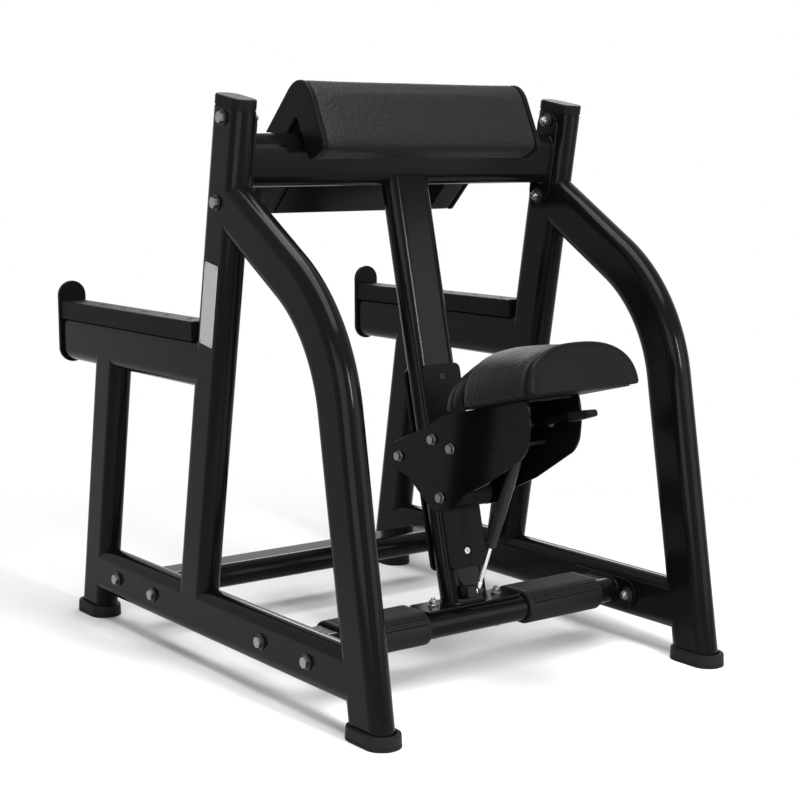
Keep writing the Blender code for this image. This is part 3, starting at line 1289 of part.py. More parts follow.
def main():
    clear_scene()
    finish = make_finishes()
    rear_reach = ARM_END_Y + FIT + END_PLATE_THICKNESS
    datum = empty("bench_datum", None, Matrix.Translation((0, -(front_reach() + rear_reach) / 2, 0)))
    post_axis = empty("seat_post_axis", datum, Matrix.Translation((0, POST_FOOT_Y, 0)) @ Matrix.Rotation(
        -POST_LEAN, 4, "X"))
    carriage = empty("seat_carriage", post_axis)

    below_boots = prism_mesh("boot_level", box_points(-2, 2, -2, 2), -1, BOOT_SOLE + FIT)
    floor_cutter = helper("boot_level", below_boots, datum)
    sides = {}
    for side, sign in (("left", -1), ("right", 1)):
        sides[side] = make_side_frame(side, sign, datum, finish, floor_cutter)

    bar_places = {
        "upper_crossbar": (UPPER_BAR_CENTRE, UPRIGHT_AXIS),
        "foot_crossbar": (Vector((0, FOOT_BAR_Y, RAIL_HEIGHT)), REARWARD),
        "rear_crossbar": (Vector((0, REAR_BAR_Y, RAIL_HEIGHT)), REARWARD),
    }
    bars = {}
    for name, (centre, long_axis) in bar_places.items():
        bars[name] = make_crossbar(name, datum, centre, long_axis, finish["coat"])
        for side, sign in (("left", -1), ("right", 1)):
            face = centre + ACROSS * sign * (FRAME_HALF_SPAN + TUBE_ROUND)
            matrix = frame(face, ACROSS * -sign, long_axis)
            upright, rail = sides[side][1:]
            beam = upright if name == "upper_crossbar" else rail
            title = name.replace("crossbar", side + "_bolts")
            make_bolt_pair(title, datum, matrix, frame_bolt_sizes(), finish["zinc"], (beam, bars[name]))

    upper_shadow = tube_shadow(
        "upper_crossbar_shadow", datum, UPPER_BAR_CENTRE - ACROSS * FRAME_HALF_SPAN, ACROSS, UPRIGHT_AXIS,
        2 * FRAME_HALF_SPAN
    )
    post = make_seat_post(datum, post_axis, upper_shadow, finish)
    base = frame((0, FOOT_BAR_Y, RAIL_HEIGHT - TUBE_SHORT / 2), UP, ACROSS)
    make_bolt_pair(
        "post_base_bolts", datum, base, post_bolt_sizes(), finish["zinc"], (post, bars["foot_crossbar"])
    )
    make_foot_grip("left_foot_grip", datum, -GRIP_INNER_X - GRIP_LENGTH, finish["grip"])
    make_foot_grip("right_foot_grip", datum, GRIP_INNER_X, finish["grip"])

    screw_holes = guide_screw_holes(post_axis)
    cut(post, screw_holes)
    for end, sign in (("front", -1), ("rear", 1)):
        make_guide_strip(end + "_guide_strip", post_axis, sign, screw_holes, finish)
        make_guide_screw(end + "_guide_screw", post_axis, sign, finish)

    make_carriage(carriage, finish)
    make_seat(carriage, finish)
    make_lever(carriage, finish)
    make_gas_spring(post_axis, finish)
    make_arm_pad(datum, upper_shadow, finish)
    make_badge(sides["left"][0], finish)


main()
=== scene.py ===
"""The finished surfaces of a preacher bench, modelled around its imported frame.

Laid out as an add-on: settings, one operator for each group of pieces and one for the stage, a panel.
Metres, +Z up. The user sits at the -Y end, and the bar rests on the arms at the +Y end.
"""

from math import atan2, cos, pi, radians, sin, sqrt, tan

import bmesh
import bpy
from mathutils import Matrix, Vector


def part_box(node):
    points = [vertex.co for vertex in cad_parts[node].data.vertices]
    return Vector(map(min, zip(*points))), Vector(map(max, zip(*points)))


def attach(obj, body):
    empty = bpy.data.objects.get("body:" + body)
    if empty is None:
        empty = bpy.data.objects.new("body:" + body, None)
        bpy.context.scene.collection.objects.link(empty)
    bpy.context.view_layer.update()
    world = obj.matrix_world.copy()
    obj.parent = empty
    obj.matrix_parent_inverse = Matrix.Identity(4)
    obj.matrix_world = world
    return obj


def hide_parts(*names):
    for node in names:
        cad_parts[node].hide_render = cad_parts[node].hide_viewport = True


bl_info = {
    "name": "Preacher Bench Finish",
    "version": (1, 0, 0),
    "blender": (4, 5, 0),
    "location": "View3D > Sidebar > Bench",
    "description": "Models the coated tubes, hardware and upholstery of a preacher bench around its frame",
    "category": "Add Mesh",
}

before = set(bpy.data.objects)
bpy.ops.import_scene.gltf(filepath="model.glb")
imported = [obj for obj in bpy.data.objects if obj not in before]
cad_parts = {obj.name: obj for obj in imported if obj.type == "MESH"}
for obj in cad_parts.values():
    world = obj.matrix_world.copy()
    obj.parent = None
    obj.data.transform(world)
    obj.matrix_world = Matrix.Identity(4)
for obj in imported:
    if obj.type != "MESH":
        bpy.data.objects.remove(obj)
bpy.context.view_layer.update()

UP = Vector((0, 0, 1))
ACROSS = Vector((1, 0, 0))
REARWARD = Vector((0, 1, 0))
HERE = Matrix.Identity(4)
SIDES = (("left", -1), ("right", 1))


def middle(node):
    low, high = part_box(node)
    return (low + high) / 2


def extent(node):
    low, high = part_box(node)
    return high - low


# Frame sizes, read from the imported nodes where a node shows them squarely
DATUM_Y = (middle("left_front_foot").y + middle("left_rear_foot").y) / 2
FRAME_X = middle("right_upright").x
TUBE_LONG = extent("left_base_rail").z
TUBE_SHORT = extent("left_base_rail").x
TUBE_ROUND = TUBE_SHORT / 2
NOSE_START = TUBE_LONG / 2 - TUBE_ROUND
RAIL_HEIGHT = middle("left_base_rail").z
ARM_HEIGHT = middle("left_rack_arm").z
FRONT_FOOT = Vector((0, middle("left_front_foot").y, 0))
REAR_FOOT = Vector((0, middle("left_rear_foot").y, 0))
ARM_END_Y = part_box("left_rack_arm")[1].y
BOOT_HEIGHT = extent("left_front_foot").z
BOOT_SOLE = 0.006
FRONT_LEG_LEAN = radians(9.46)
REAR_LEG_LEAN = radians(10.0)
UPRIGHT_LEAN = radians(10.09)
UPRIGHT_FOOT = Vector((0, 0.0980 + DATUM_Y, 0))
UPRIGHT_LENGTH = 1.1056
CAP_HEIGHT = 0.020
KNEE_HEIGHT = 0.6989
KNEE_RADIUS = 0.320
UPPER_RUN_LEAN = radians(58.6)
UPPER_BAR_HEIGHT = 0.9743
UPPER_RUN = 0.4
FRONT_LEG_AXIS = Vector((0, sin(FRONT_LEG_LEAN), cos(FRONT_LEG_LEAN)))
REAR_LEG_AXIS = Vector((0, -sin(REAR_LEG_LEAN), cos(REAR_LEG_LEAN)))
UPRIGHT_AXIS = Vector((0, -sin(UPRIGHT_LEAN), cos(UPRIGHT_LEAN)))
GAP = 0.0003
PAST_END = 0.7
BELOW_FLOOR = -0.1
ARM_SEAM = 0.0022
ROUND_STEPS = 14
KNEE_STEPS = 28
SEAM_EDGE = 0.0010
SEAM_GAP = 0.0010
SHARP_ANGLE = radians(40)
RIM_ANGLE = radians(50)

# Seat post, which every piece of the carriage is measured from
POST_LEAN = radians(13.53)
POST_FOOT = Vector((0, -0.3016 + DATUM_Y, 0))
POST = Matrix.Translation(POST_FOOT) @ Matrix.Rotation(-POST_LEAN, 4, "X")
POST_TOP = 0.981
POST_BASE_CORNER = 0.012
POST_BASE_THICKNESS = 0.005
POST_BASE_HALF_WIDTH = 0.031
POST_BASE_SHIFT = -0.003
SIDE_PLATE_INNER_X = 0.0575
SIDE_PLATE_THICKNESS = 0.005
SIDE_PLATE_OUTER_X = SIDE_PLATE_INNER_X + SIDE_PLATE_THICKNESS
SIDE_PLATE_TOP = 0.4916
GUIDE_THICKNESS = 0.008
GUIDE_WIDTH = 0.090
GUIDE_BOTTOM = 0.1992
GUIDE_TOP = 0.5932
GUIDE_CORNER = 0.012
GUIDE_SCREWS = (0.2312, 0.5692)
ROLLER_RADIUS = 0.0235
ROLLER_AHEAD = TUBE_ROUND + GUIDE_THICKNESS + 2 * GAP + ROLLER_RADIUS
ROLLERS = {"upper": (ROLLER_AHEAD, 0.4498), "lower": (ROLLER_AHEAD, 0.3387), "rear": (-ROLLER_AHEAD, 0.4292)}
SPACER = (0.1104, 0.4269)
SPRING_UPPER = (0.2361, 0.4158)
SPRING_LOWER = (0.0470, 0.1542)


def axes(origin, z_axis, x_axis):
    """A matrix at origin whose Z and X axes point along the two directions."""
    z = Vector(z_axis).normalized()
    x = Vector(x_axis)
    x = (x - z * x.dot(z)).normalized()
    matrix = Matrix((x, z.cross(x), z)).transposed().to_4x4()
    matrix.translation = Vector(origin)
    return matrix


SIDEWAYS = axes((0, 0, 0), ACROSS, REARWARD)
CARRIAGE = POST @ SIDEWAYS


def upright_point(height):
    return UPRIGHT_FOOT + UPRIGHT_AXIS * height / UPRIGHT_AXIS.z


def on_carriage(ahead, height):
    """The frame of a piece whose axis crosses the carriage, ahead of the post and up along it."""
    return CARRIAGE @ Matrix.Translation((-ahead, height, 0))


# Settings

class BenchFinishSettings(bpy.types.PropertyGroup):
    """Colours of the bench's finishes."""

    coat: bpy.props.StringProperty(
        name="Powder coat", description="Colour of the coated steel", default="#090909"
    )
    plate_coat: bpy.props.StringProperty(
        name="Plate coat", description="Colour of the glossier coat on the carriage plates", default="#0a0a0a"
    )
    leather: bpy.props.StringProperty(
        name="Upholstery", description="Colour of the grained cover", default="#0d0d0d"
    )
    rubber: bpy.props.StringProperty(
        name="Rubber", description="Colour of the boots and foot grips", default="#131313"
    )
    plastic: bpy.props.StringProperty(
        name="Plastic", description="Colour of the moulded pieces", default="#0f0f0f"
    )
    zinc: bpy.props.StringProperty(
        name="Zinc", description="Colour of the plated bolts and nuts", default="#8e8e90"
    )
    chrome: bpy.props.StringProperty(
        name="Chrome", description="Colour of the spring's rod", default="#d2d2d4"
    )
    aluminium: bpy.props.StringProperty(
        name="Aluminium", description="Colour of the badge plate", default="#b2b2b4"
    )


class BenchPadSettings(bpy.types.PropertyGroup):
    """How the upholstery is padded and grained."""

    voxel: bpy.props.FloatProperty(
        name="Mesh size", description="Size of the simulated mesh's faces", default=0.0055, unit="LENGTH"
    )
    pressure: bpy.props.FloatProperty(
        name="Pressure", description="Pressure of the foam on its cover", default=1.6
    )
    swell: bpy.props.FloatProperty(
        name="Swell", description="How far a point of the cover may move", default=0.0025, unit="LENGTH"
    )
    grain: bpy.props.FloatProperty(
        name="Grain", description="Width of one cell of the leather grain", default=0.0036, unit="LENGTH"
    )


class BenchHardwareSettings(bpy.types.PropertyGroup):
    """Sizes of the bolts that hold the frame together."""

    flats: bpy.props.FloatProperty(
        name="Across flats", description="Width of an M12 head", default=0.019, unit="LENGTH"
    )
    washer: bpy.props.FloatProperty(
        name="Washer", description="Diameter of the washers under the heads", default=0.030, unit="LENGTH"
    )
    pitch: bpy.props.FloatProperty(
        name="Pitch", description="Distance between the two bolts of a pair", default=0.155, unit="LENGTH"
    )


class BenchStageSettings(bpy.types.PropertyGroup):
    """Lamps and floor of the studio."""

    key: bpy.props.FloatProperty(name="Left lamp", description="Power of the lamp on the left", default=38.0)
    side: bpy.props.FloatProperty(
        name="Right lamp", description="Power of the lamp on the right", default=34.0
    )
    top: bpy.props.FloatProperty(name="Top lamp", description="Power of the lamp overhead", default=118.0)
    rim: bpy.props.FloatProperty(name="Rim lamp", description="Power of the lamp behind", default=45.0)
    strip: bpy.props.FloatProperty(
        name="Strip lamp", description="Power of the narrow lamp in front", default=66.0
    )
    floor: bpy.props.StringProperty(name="Floor", description="Colour of the floor", default="#ececec")


def finishes():
    return bpy.context.scene.bench_finish


def pads():
    return bpy.context.scene.bench_pads


def hardware():
    return bpy.context.scene.bench_hardware


# Materials

def linear(hex_colour):
    """The linear colour of an sRGB hex value."""
    channels = [int(hex_colour[start:start + 2], 16) / 255 for start in (1, 3, 5)]
    return (*[c / 12.92 if c <= 0.04045 else ((c + 0.055) / 1.055) ** 2.4 for c in channels], 1.0)


def add_node(tree, kind, inputs=None, **settings):
    """Adds a node with its settings; an input is a value, or another node's output to link."""
    item = tree.nodes.new(kind)
    for name, value in settings.items():
        setattr(item, name, value)
    for socket, value in (inputs or {}).items():
        if isinstance(value, bpy.types.NodeSocket):
            tree.links.new(value, item.inputs[socket])
        else:
            item.inputs[socket].default_value = value
    return item


def new_material(name):
    """An empty material, its tree and the coordinates that its patterns are laid on."""
    material = bpy.data.materials.new(name)
    material.use_nodes = True
    tree = material.node_tree
    tree.nodes.clear()
    place = add_node(tree, "ShaderNodeTexCoord").outputs["Object"]
    return material, tree, place


def scaled_hex(hex_colour, share):
    """An sRGB hex value with its channels scaled by a share."""
    channels = [min(255, round(int(hex_colour[start:start + 2], 16) * share)) for start in (1, 3, 5)]
    return "#" + "".join(f"{channel:02x}" for channel in channels)


def tints(hex_colour, low, high):
    return scaled_hex(hex_colour, low), scaled_hex(hex_colour, high)


def finish_material(tree, pattern, colours, roughness, sockets, relief=None):
    """Ends a material whose colour and roughness run from low to high with a pattern.

    A single colour stays plain. A relief is a height, its strength and its depth.
    """
    low, high = roughness
    spread = add_node(tree, "ShaderNodeMapRange", {"Value": pattern, "To Min": low, "To Max": high})
    inputs = {"Roughness": spread.outputs[0], **sockets}
    if isinstance(colours, str):
        inputs["Base Color"] = linear(colours)
    else:
        dark, pale = colours
        ends = {0: pattern, 6: linear(dark), 7: linear(pale)}
        mix = add_node(tree, "ShaderNodeMix", ends, data_type="RGBA")
        inputs["Base Color"] = mix.outputs[2]
    if relief:
        height, strength, depth = relief
        bump = add_node(tree, "ShaderNodeBump", {"Strength": strength, "Distance": depth, "Height": height})
        inputs["Normal"] = bump.outputs["Normal"]
    shader = add_node(tree, "ShaderNodeBsdfPrincipled", inputs)
    add_node(tree, "ShaderNodeOutputMaterial", {"Surface": shader.outputs["BSDF"]})


def noisy_finish(name, size, detail, colours, roughness, sockets, relief=None):
    """A finish that follows one noise. size is the width of its lumps, or a width along each axis."""
    made, tree, place = new_material(name)
    scale = 1.0
    if isinstance(size, tuple):
        stretch = {"Vector": place, "Scale": [1 / width for width in size]}
        place = add_node(tree, "ShaderNodeMapping", stretch).outputs[0]
    else:
        scale = 1 / size
    noise = add_node(tree, "ShaderNodeTexNoise", {"Vector": place, "Scale": scale, "Detail": detail})
    height = noise.outputs["Fac"]
    finish_material(tree, height, colours, roughness, sockets, relief and (height, *relief))
    return made


MATERIALS = {}
GLOSS = "Specular IOR Level"
ORANGE_PEEL = 0.0060  # coarser than the real 2 to 3 mm, so that it shows


def material(name):
    """The material of that name, made the first time it is asked for."""
    if name not in MATERIALS:
        MATERIALS[name] = MAKERS[name]()
    return MATERIALS[name]


def powder_coated_steel():
    """Epoxy powder, sprayed and baked: a faint orange peel under an even, semi-gloss skin."""
    made, tree, place = new_material("powder_coated_steel")
    peel = add_node(tree, "ShaderNodeTexNoise", {"Vector": place, "Scale": 1 / ORANGE_PEEL, "Detail": 1.0})
    cloud = add_node(tree, "ShaderNodeTexNoise", {"Vector": place, "Scale": 1 / 0.120, "Detail": 3.0})
    finish_material(
        tree, cloud.outputs["Fac"], tints(finishes().coat, 0.9, 1.12), roughness=(0.13, 0.18),
        sockets={GLOSS: 0.068}, relief=(peel.outputs["Fac"], 0.03, 0.0002)
    )
    return made


def glossy_coated_plate():
    """The same powder on flat laser-cut plate, where it flows out to a glossier face."""
    return noisy_finish(
        "glossy_coated_plate", size=ORANGE_PEEL, detail=1.0, colours=finishes().plate_coat,
        roughness=(0.08, 0.13), sockets={GLOSS: 0.06}, relief=(0.05, 0.0002)
    )


def black_satin_paint():
    """Stove enamel on a drawn cylinder: smooth, with a soft gloss."""
    return noisy_finish(
        "black_satin_paint", size=0.020, detail=2.0, colours="#131313", roughness=(0.24, 0.34),
        sockets={GLOSS: 0.16}
    )


def grained_leather():
    """Embossed upholstery leather: pebbles parted by fine creases, painted paler on the crowns as painted
    highlight and darker in the creases as painted shade.
    """
    made, tree, place = new_material("grained_leather")
    size = pads().grain
    warp = add_node(tree, "ShaderNodeTexNoise", {"Vector": place, "Scale": 1 / (size * 3), "Detail": 2.0})
    shifted = add_node(
        tree, "ShaderNodeVectorMath", {0: warp.outputs["Color"], "Scale": size * 1.4}, operation="SCALE"
    )
    spot = add_node(tree, "ShaderNodeVectorMath", {0: place, 1: shifted.outputs[0]}, operation="ADD")
    pebbles = add_node(
        tree, "ShaderNodeTexVoronoi", {"Vector": spot.outputs[0], "Scale": 1 / size}, feature="SMOOTH_F1"
    )
    wrinkle = add_node(tree, "ShaderNodeTexNoise", {"Vector": place, "Scale": 1 / (size * 9), "Detail": 4.0})
    crown_relief_and_painted_light = add_node(
        tree, "ShaderNodeMapRange", {"Value": pebbles.outputs["Distance"], "To Min": 1.0, "To Max": 0.0}
    ).outputs[0]
    height = add_node(tree, "ShaderNodeMath", {0: crown_relief_and_painted_light, 1: wrinkle.outputs["Fac"]}, operation="ADD")
    # The colour runs with the crown: painted shade in the creases and painted highlight on the pebble crowns.
    finish_material(
        tree, crown_relief_and_painted_light, tints(finishes().leather, 0.72, 1.1), roughness=(0.62, 0.42),
        sockets={GLOSS: 0.12, "Sheen Weight": 0.02, "Sheen Roughness": 0.4},
        relief=(height.outputs[0], 1.0, 0.0012)
    )
    return made


def smooth_leather():
    """Plain-faced vinyl leather of the end panels: the same hide without the deep emboss, painted darker than
    the body as painted shade on the panels.
    """
    made, tree, place = new_material("smooth_leather")
    size = pads().grain * 0.8
    grain = add_node(tree, "ShaderNodeTexVoronoi", {"Vector": place, "Scale": 1 / size})
    cloud = add_node(tree, "ShaderNodeTexNoise", {"Vector": place, "Scale": 1 / 0.030, "Detail": 3.0})
    # 0.62 to 0.76 of the leather's colour: painted shade that darkens the panels against the body.
    finish_material(
        tree, cloud.outputs["Fac"], tints(finishes().leather, 0.62, 0.76), roughness=(0.36, 0.44),
        sockets={GLOSS: 0.05}, relief=(grain.outputs["Distance"], 0.12, 0.0003)
    )
    return made


def vulcanised_rubber():
    """Moulded rubber of the boots and grips: dull, with the fine pits of its mould."""
    return noisy_finish(
        "vulcanised_rubber", size=0.0015, detail=3.0, colours=tints(finishes().rubber, 0.85, 1.1),
        roughness=(0.50, 0.68), sockets={GLOSS: 0.10}, relief=(0.20, 0.0003)
    )


def moulded_plastic():
    """Injection-moulded polypropylene with a spark-eroded texture: matte and even."""
    return noisy_finish(
        "moulded_plastic", size=0.0012, detail=2.0, colours=tints(finishes().plastic, 0.9, 1.1),
        roughness=(0.42, 0.56), sockets={GLOSS: 0.04}, relief=(0.03, 0.0002)
    )


def machined_acetal():
    """Black acetal of the guides: dense and satin, with faint lines from the planer along its length."""
    return noisy_finish(
        "machined_acetal", size=(0.0012, 0.0012, 0.060), detail=2.0, colours=("#090909", "#0d0d0d"),
        roughness=(0.38, 0.50), sockets={GLOSS: 0.05}, relief=(0.08, 0.0002)
    )


def zinc_plated_steel():
    """Bright zinc on turned and cold-headed steel: grey metal with a faintly clouded polish."""
    return noisy_finish(
        "zinc_plated_steel", size=0.0025, detail=3.0, colours=tints(finishes().zinc, 0.80, 1.05),
        roughness=(0.22, 0.40), sockets={"Metallic": 1.0}
    )


def blackened_steel():
    """Black oxide on washers, studs and small screws: dark, dry metal."""
    return noisy_finish(
        "blackened_steel", size=0.0040, detail=3.0, colours=("#161616", "#222222"),
        roughness=(0.32, 0.50), sockets={"Metallic": 0.6, GLOSS: 0.3}
    )


def chromed_rod():
    """Hard chrome on a ground rod: bright, with the grinder's faint unevenness."""
    return noisy_finish(
        "chromed_rod", size=0.0020, detail=1.0, colours=finishes().chrome, roughness=(0.06, 0.14),
        sockets={"Metallic": 1.0}
    )


def brushed_aluminium():
    """Sheet aluminium brushed along its length: hairlines that catch the light in streaks.

    The hairlines are wider than the real 0.1 mm, so that they show.
    """
    return noisy_finish(
        "brushed_aluminium", size=(0.0006, 0.0006, 0.040), detail=3.0,
        colours=tints(finishes().aluminium, 0.85, 1.08), roughness=(0.34, 0.50),
        sockets={"Metallic": 1.0}, relief=(0.10, 0.0001)
    )


MAKERS = {
    "coat": powder_coated_steel,
    "plate": glossy_coated_plate,
    "paint": black_satin_paint,
    "leather": grained_leather,
    "smooth leather": smooth_leather,
    "rubber": vulcanised_rubber,
    "plastic": moulded_plastic,
    "acetal": machined_acetal,
    "zinc": zinc_plated_steel,
    "black oxide": blackened_steel,
    "chrome": chromed_rod,
    "aluminium": brushed_aluminium,
}


# Shapes. An outline is a list of corners: X, Y, radius, and the steps that its arc is drawn with

def oval(length, width, steps=ROUND_STEPS):
    """The corners of a flat oval, half-round at both ends of its long X axis."""
    x, y = length / 2, width / 2
    return [(-x, -y, y, steps), (x, -y, y, steps), (x, y, y, steps), (-x, y, y, steps)]


def rectangle(x_low, x_high, y_low, y_high, radius=0.0, steps=6):
    places = ((x_low, y_low), (x_high, y_low), (x_high, y_high), (x_low, y_high))
    return [(x, y, radius, steps) for x, y in places]


def rounded_ring(bm, corners):
    """A closed ring of edges from (x, y, radius, segments) corners, each with a radius bevelled to an arc."""
    verts = [bm.verts.new((x, y, 0)) for x, y, _, _ in corners]
    bm.faces.new(verts)
    spots = [Vector(corner[:2]) for corner in corners]
    for index, (_, _, radius, segments) in enumerate(corners):
        if radius == 0:
            continue
        back = spots[index - 1] - spots[index]
        ahead = spots[(index + 1) % len(spots)] - spots[index]
        bmesh.ops.bevel(
            bm, geom=[verts[index]], offset=radius / tan(back.angle(ahead) / 2), affect="VERTICES",
            segments=segments, profile=0.5, material=-1
        )
    bmesh.ops.remove_doubles(bm, verts=bm.verts, dist=1e-5)
    bmesh.ops.delete(bm, geom=bm.faces[:], context="FACES_ONLY")
    return bm.edges[:]


def ring_verts(ring):
    return {vert for edge in ring for vert in edge.verts}


def draw_out(bm, ring, matrix):
    """Extrudes a ring of edges along a move or a turn, and gives the new ring."""
    grown = bmesh.ops.extrude_edge_only(bm, edges=ring)["geom"]
    verts = [item for item in grown if isinstance(item, bmesh.types.BMVert)]
    bmesh.ops.transform(bm, matrix=matrix, verts=verts)
    return [item for item in grown if isinstance(item, bmesh.types.BMEdge)]


def close_ends(bm):
    bmesh.ops.holes_fill(bm, edges=[edge for edge in bm.edges if edge.is_boundary], sides=0)
    bmesh.ops.recalc_face_normals(bm, faces=bm.faces)


def lies_at(*levels):
    """Picks the edges that lie at one of the heights along local Z."""
    return lambda edge: any(all(abs(vert.co.z - level) < 1e-6 for vert in edge.verts) for level in levels)


def round_edges(bm, width, segments, picked):
    """Bevels the sharp edges that picked picks."""
    bmesh.ops.recalc_face_normals(bm, faces=bm.faces)
    sharp = [
        edge for edge in bm.edges
        if edge.is_manifold and edge.calc_face_angle() > RIM_ANGLE and picked(edge)
    ]
    bmesh.ops.bevel(
        bm, geom=sharp, offset=width, segments=segments, profile=0.5, affect="EDGES", material=-1,
        clamp_overlap=True
    )


def trim(bm, point, normal, edge=SEAM_EDGE, gap=SEAM_GAP):
    """Cuts away what lies past a plane, less a gap, closes the cut and rounds its rim a little."""
    everything = bm.verts[:] + bm.edges[:] + bm.faces[:]
    cut = bmesh.ops.bisect_plane(
        bm, geom=everything, plane_co=point - normal * gap, plane_no=normal, clear_outer=True
    )["geom_cut"]
    rim = [item for item in cut if isinstance(item, bmesh.types.BMEdge)]
    bmesh.ops.edgeloop_fill(bm, edges=rim)
    bmesh.ops.recalc_face_normals(bm, faces=bm.faces)
    bmesh.ops.bevel(bm, geom=rim, offset=edge, segments=1, profile=0.5, affect="EDGES", material=-1)


def prism(corners, low, high, edge=0.0, segments=2):
    """A closed solid with a rounded outline in local XY, from low to high along Z, its rims rounded."""
    bm = bmesh.new()
    ring = rounded_ring(bm, corners)
    bmesh.ops.translate(bm, verts=bm.verts, vec=(0, 0, low))
    draw_out(bm, ring, Matrix.Translation((0, 0, high - low)))
    close_ends(bm)
    if edge:
        round_edges(bm, edge, segments, lies_at(low, high))
    return bm


def turned(profile, steps=32, ring=False):
    """A solid of revolution round local Z, from (radius, height) points."""
    bm = bmesh.new()
    verts = [bm.verts.new((radius, 0, height)) for radius, height in profile]
    ends = verts[1:] + verts[:1] if ring else verts[1:]
    edges = [bm.edges.new(pair) for pair in zip(verts, ends)]
    bmesh.ops.spin(
        bm, geom=verts + edges, cent=(0, 0, 0), axis=(0, 0, 1), angle=2 * pi, steps=steps, use_merge=True
    )
    bmesh.ops.remove_doubles(bm, verts=bm.verts, dist=1e-6)
    bmesh.ops.recalc_face_normals(bm, faces=bm.faces)
    return bm


def washer_ring(inner, outer, low, high, edge, steps):
    """A flat ring round local Z, its outer rims eased."""
    return turned([
        (inner, low), (outer - edge, low), (outer, low + edge), (outer, high - edge), (outer - edge, high),
        (inner, high),
    ], steps, ring=True)


def hexagon(flats, low, high, chamfer_low=False, chamfer_high=True):
    """A forged hexagon, its corners cut by a 30-degree cone where it is chamfered."""
    cone_start, face_radius = flats * 0.48, flats * 0.475
    bm = bmesh.new()
    bmesh.ops.create_circle(bm, segments=6, radius=flats / 2 / cos(pi / 6))
    bmesh.ops.subdivide_edges(bm, edges=bm.edges[:], cuts=5)
    ring = bm.edges[:]
    bmesh.ops.translate(bm, verts=bm.verts, vec=(0, 0, low))
    last = draw_out(bm, ring, Matrix.Translation((0, 0, high - low)))
    for rim, cut, inward in ((ring, chamfer_low, 1), (last, chamfer_high, -1)):
        if not cut:
            continue
        for vert in ring_verts(rim):
            vert.co.z += inward * (vert.co.xy.length - cone_start) * tan(radians(30))
        for vert in ring_verts(draw_out(bm, rim, HERE)):
            vert.co.xy = vert.co.xy.normalized() * face_radius
            vert.co.z = low if inward == 1 else high
    close_ends(bm)
    return bm


def add(bm, part, matrix=HERE):
    """Moves a finished shape into bm."""
    bmesh.ops.transform(part, matrix=matrix, verts=part.verts)
    carrier = bpy.data.meshes.new("carrier")
    part.to_mesh(carrier)
    part.free()
    bm.from_mesh(carrier)
    bpy.data.meshes.remove(carrier)


def tube(origin, direction, long_axis, start, end):
    """A straight run of the frame's flat-oval tube, with a ring at both ends."""
    bm = bmesh.new()
    ring = rounded_ring(bm, oval(TUBE_LONG, TUBE_SHORT))
    bmesh.ops.translate(bm, verts=bm.verts, vec=(0, 0, start))
    draw_out(bm, ring, Matrix.Translation((0, 0, end - start)))
    close_ends(bm)
    bmesh.ops.transform(bm, matrix=axes(origin, direction, long_axis), verts=bm.verts)
    return bm


# Pieces

def weight_normals(piece):
    modifier = piece.modifiers.new("Weighted normals", "WEIGHTED_NORMAL")
    modifier.keep_sharp = True


def settle(name, bm, body, nodes, finish, at=HERE, weighted=True):
    """Moves a finished shape to its place, as a piece that rides on its body and stands for its nodes."""
    bmesh.ops.transform(bm, matrix=at, verts=bm.verts)
    bmesh.ops.recalc_face_normals(bm, faces=bm.faces)
    mesh = bpy.data.meshes.new(name)
    bm.to_mesh(mesh)
    bm.free()
    mesh.shade_smooth()
    mesh.set_sharp_from_angle(angle=SHARP_ANGLE)
    piece = bpy.data.objects.new(name, mesh)
    bpy.context.scene.collection.objects.link(piece)
    mesh.materials.append(material(finish))
    if weighted:
        weight_normals(piece)
    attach(piece, body)
    if nodes:
        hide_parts(*nodes)
    return piece


def bake(piece):
    """Replaces the piece's mesh by what its modifiers make of it."""
    bpy.context.view_layer.update()
    baked = bpy.data.meshes.new_from_object(piece.evaluated_get(bpy.context.evaluated_depsgraph_get()))
    old = piece.data
    name = old.name
    finishes_kept = list(old.materials)
    piece.modifiers.clear()
    piece.data = baked
    bpy.data.meshes.remove(old)
    baked.name = name
    if not baked.materials:
        for finish in finishes_kept:
            baked.materials.append(finish)


def carve(piece, cutter_shape):
    """Cuts a shape out of a finished piece and bakes the cut into its mesh."""
    mesh = bpy.data.meshes.new("cutter")
    bmesh.ops.recalc_face_normals(cutter_shape, faces=cutter_shape.faces)
    cutter_shape.to_mesh(mesh)
    cutter_shape.free()
    cutter = bpy.data.objects.new("cutter", mesh)
    bpy.context.scene.collection.objects.link(cutter)
    piece.modifiers.clear()
    boolean = piece.modifiers.new("Cut", "BOOLEAN")
    boolean.object = cutter
    boolean.operation = "DIFFERENCE"
    bake(piece)
    piece.data.shade_smooth()
    piece.data.set_sharp_from_angle(angle=SHARP_ANGLE)
    weight_normals(piece)
    bpy.data.objects.remove(cutter)
    bpy.data.meshes.remove(mesh)


def paint_part(piece, finish, chosen):
    """Gives the faces that chosen picks by their centre another finish."""
    piece.data.materials.append(material(finish))
    for face in piece.data.polygons:
        if chosen(face.center):
            face.material_index = 1


# Side frames

def nose_plane(origin, axis, toward):
    """A point and direction of the plane where a tube's flat sides end and its round nose begins."""
    long_axis = (REARWARD - axis * REARWARD.dot(axis)).normalized() * toward
    return origin + long_axis * NOSE_START, long_axis


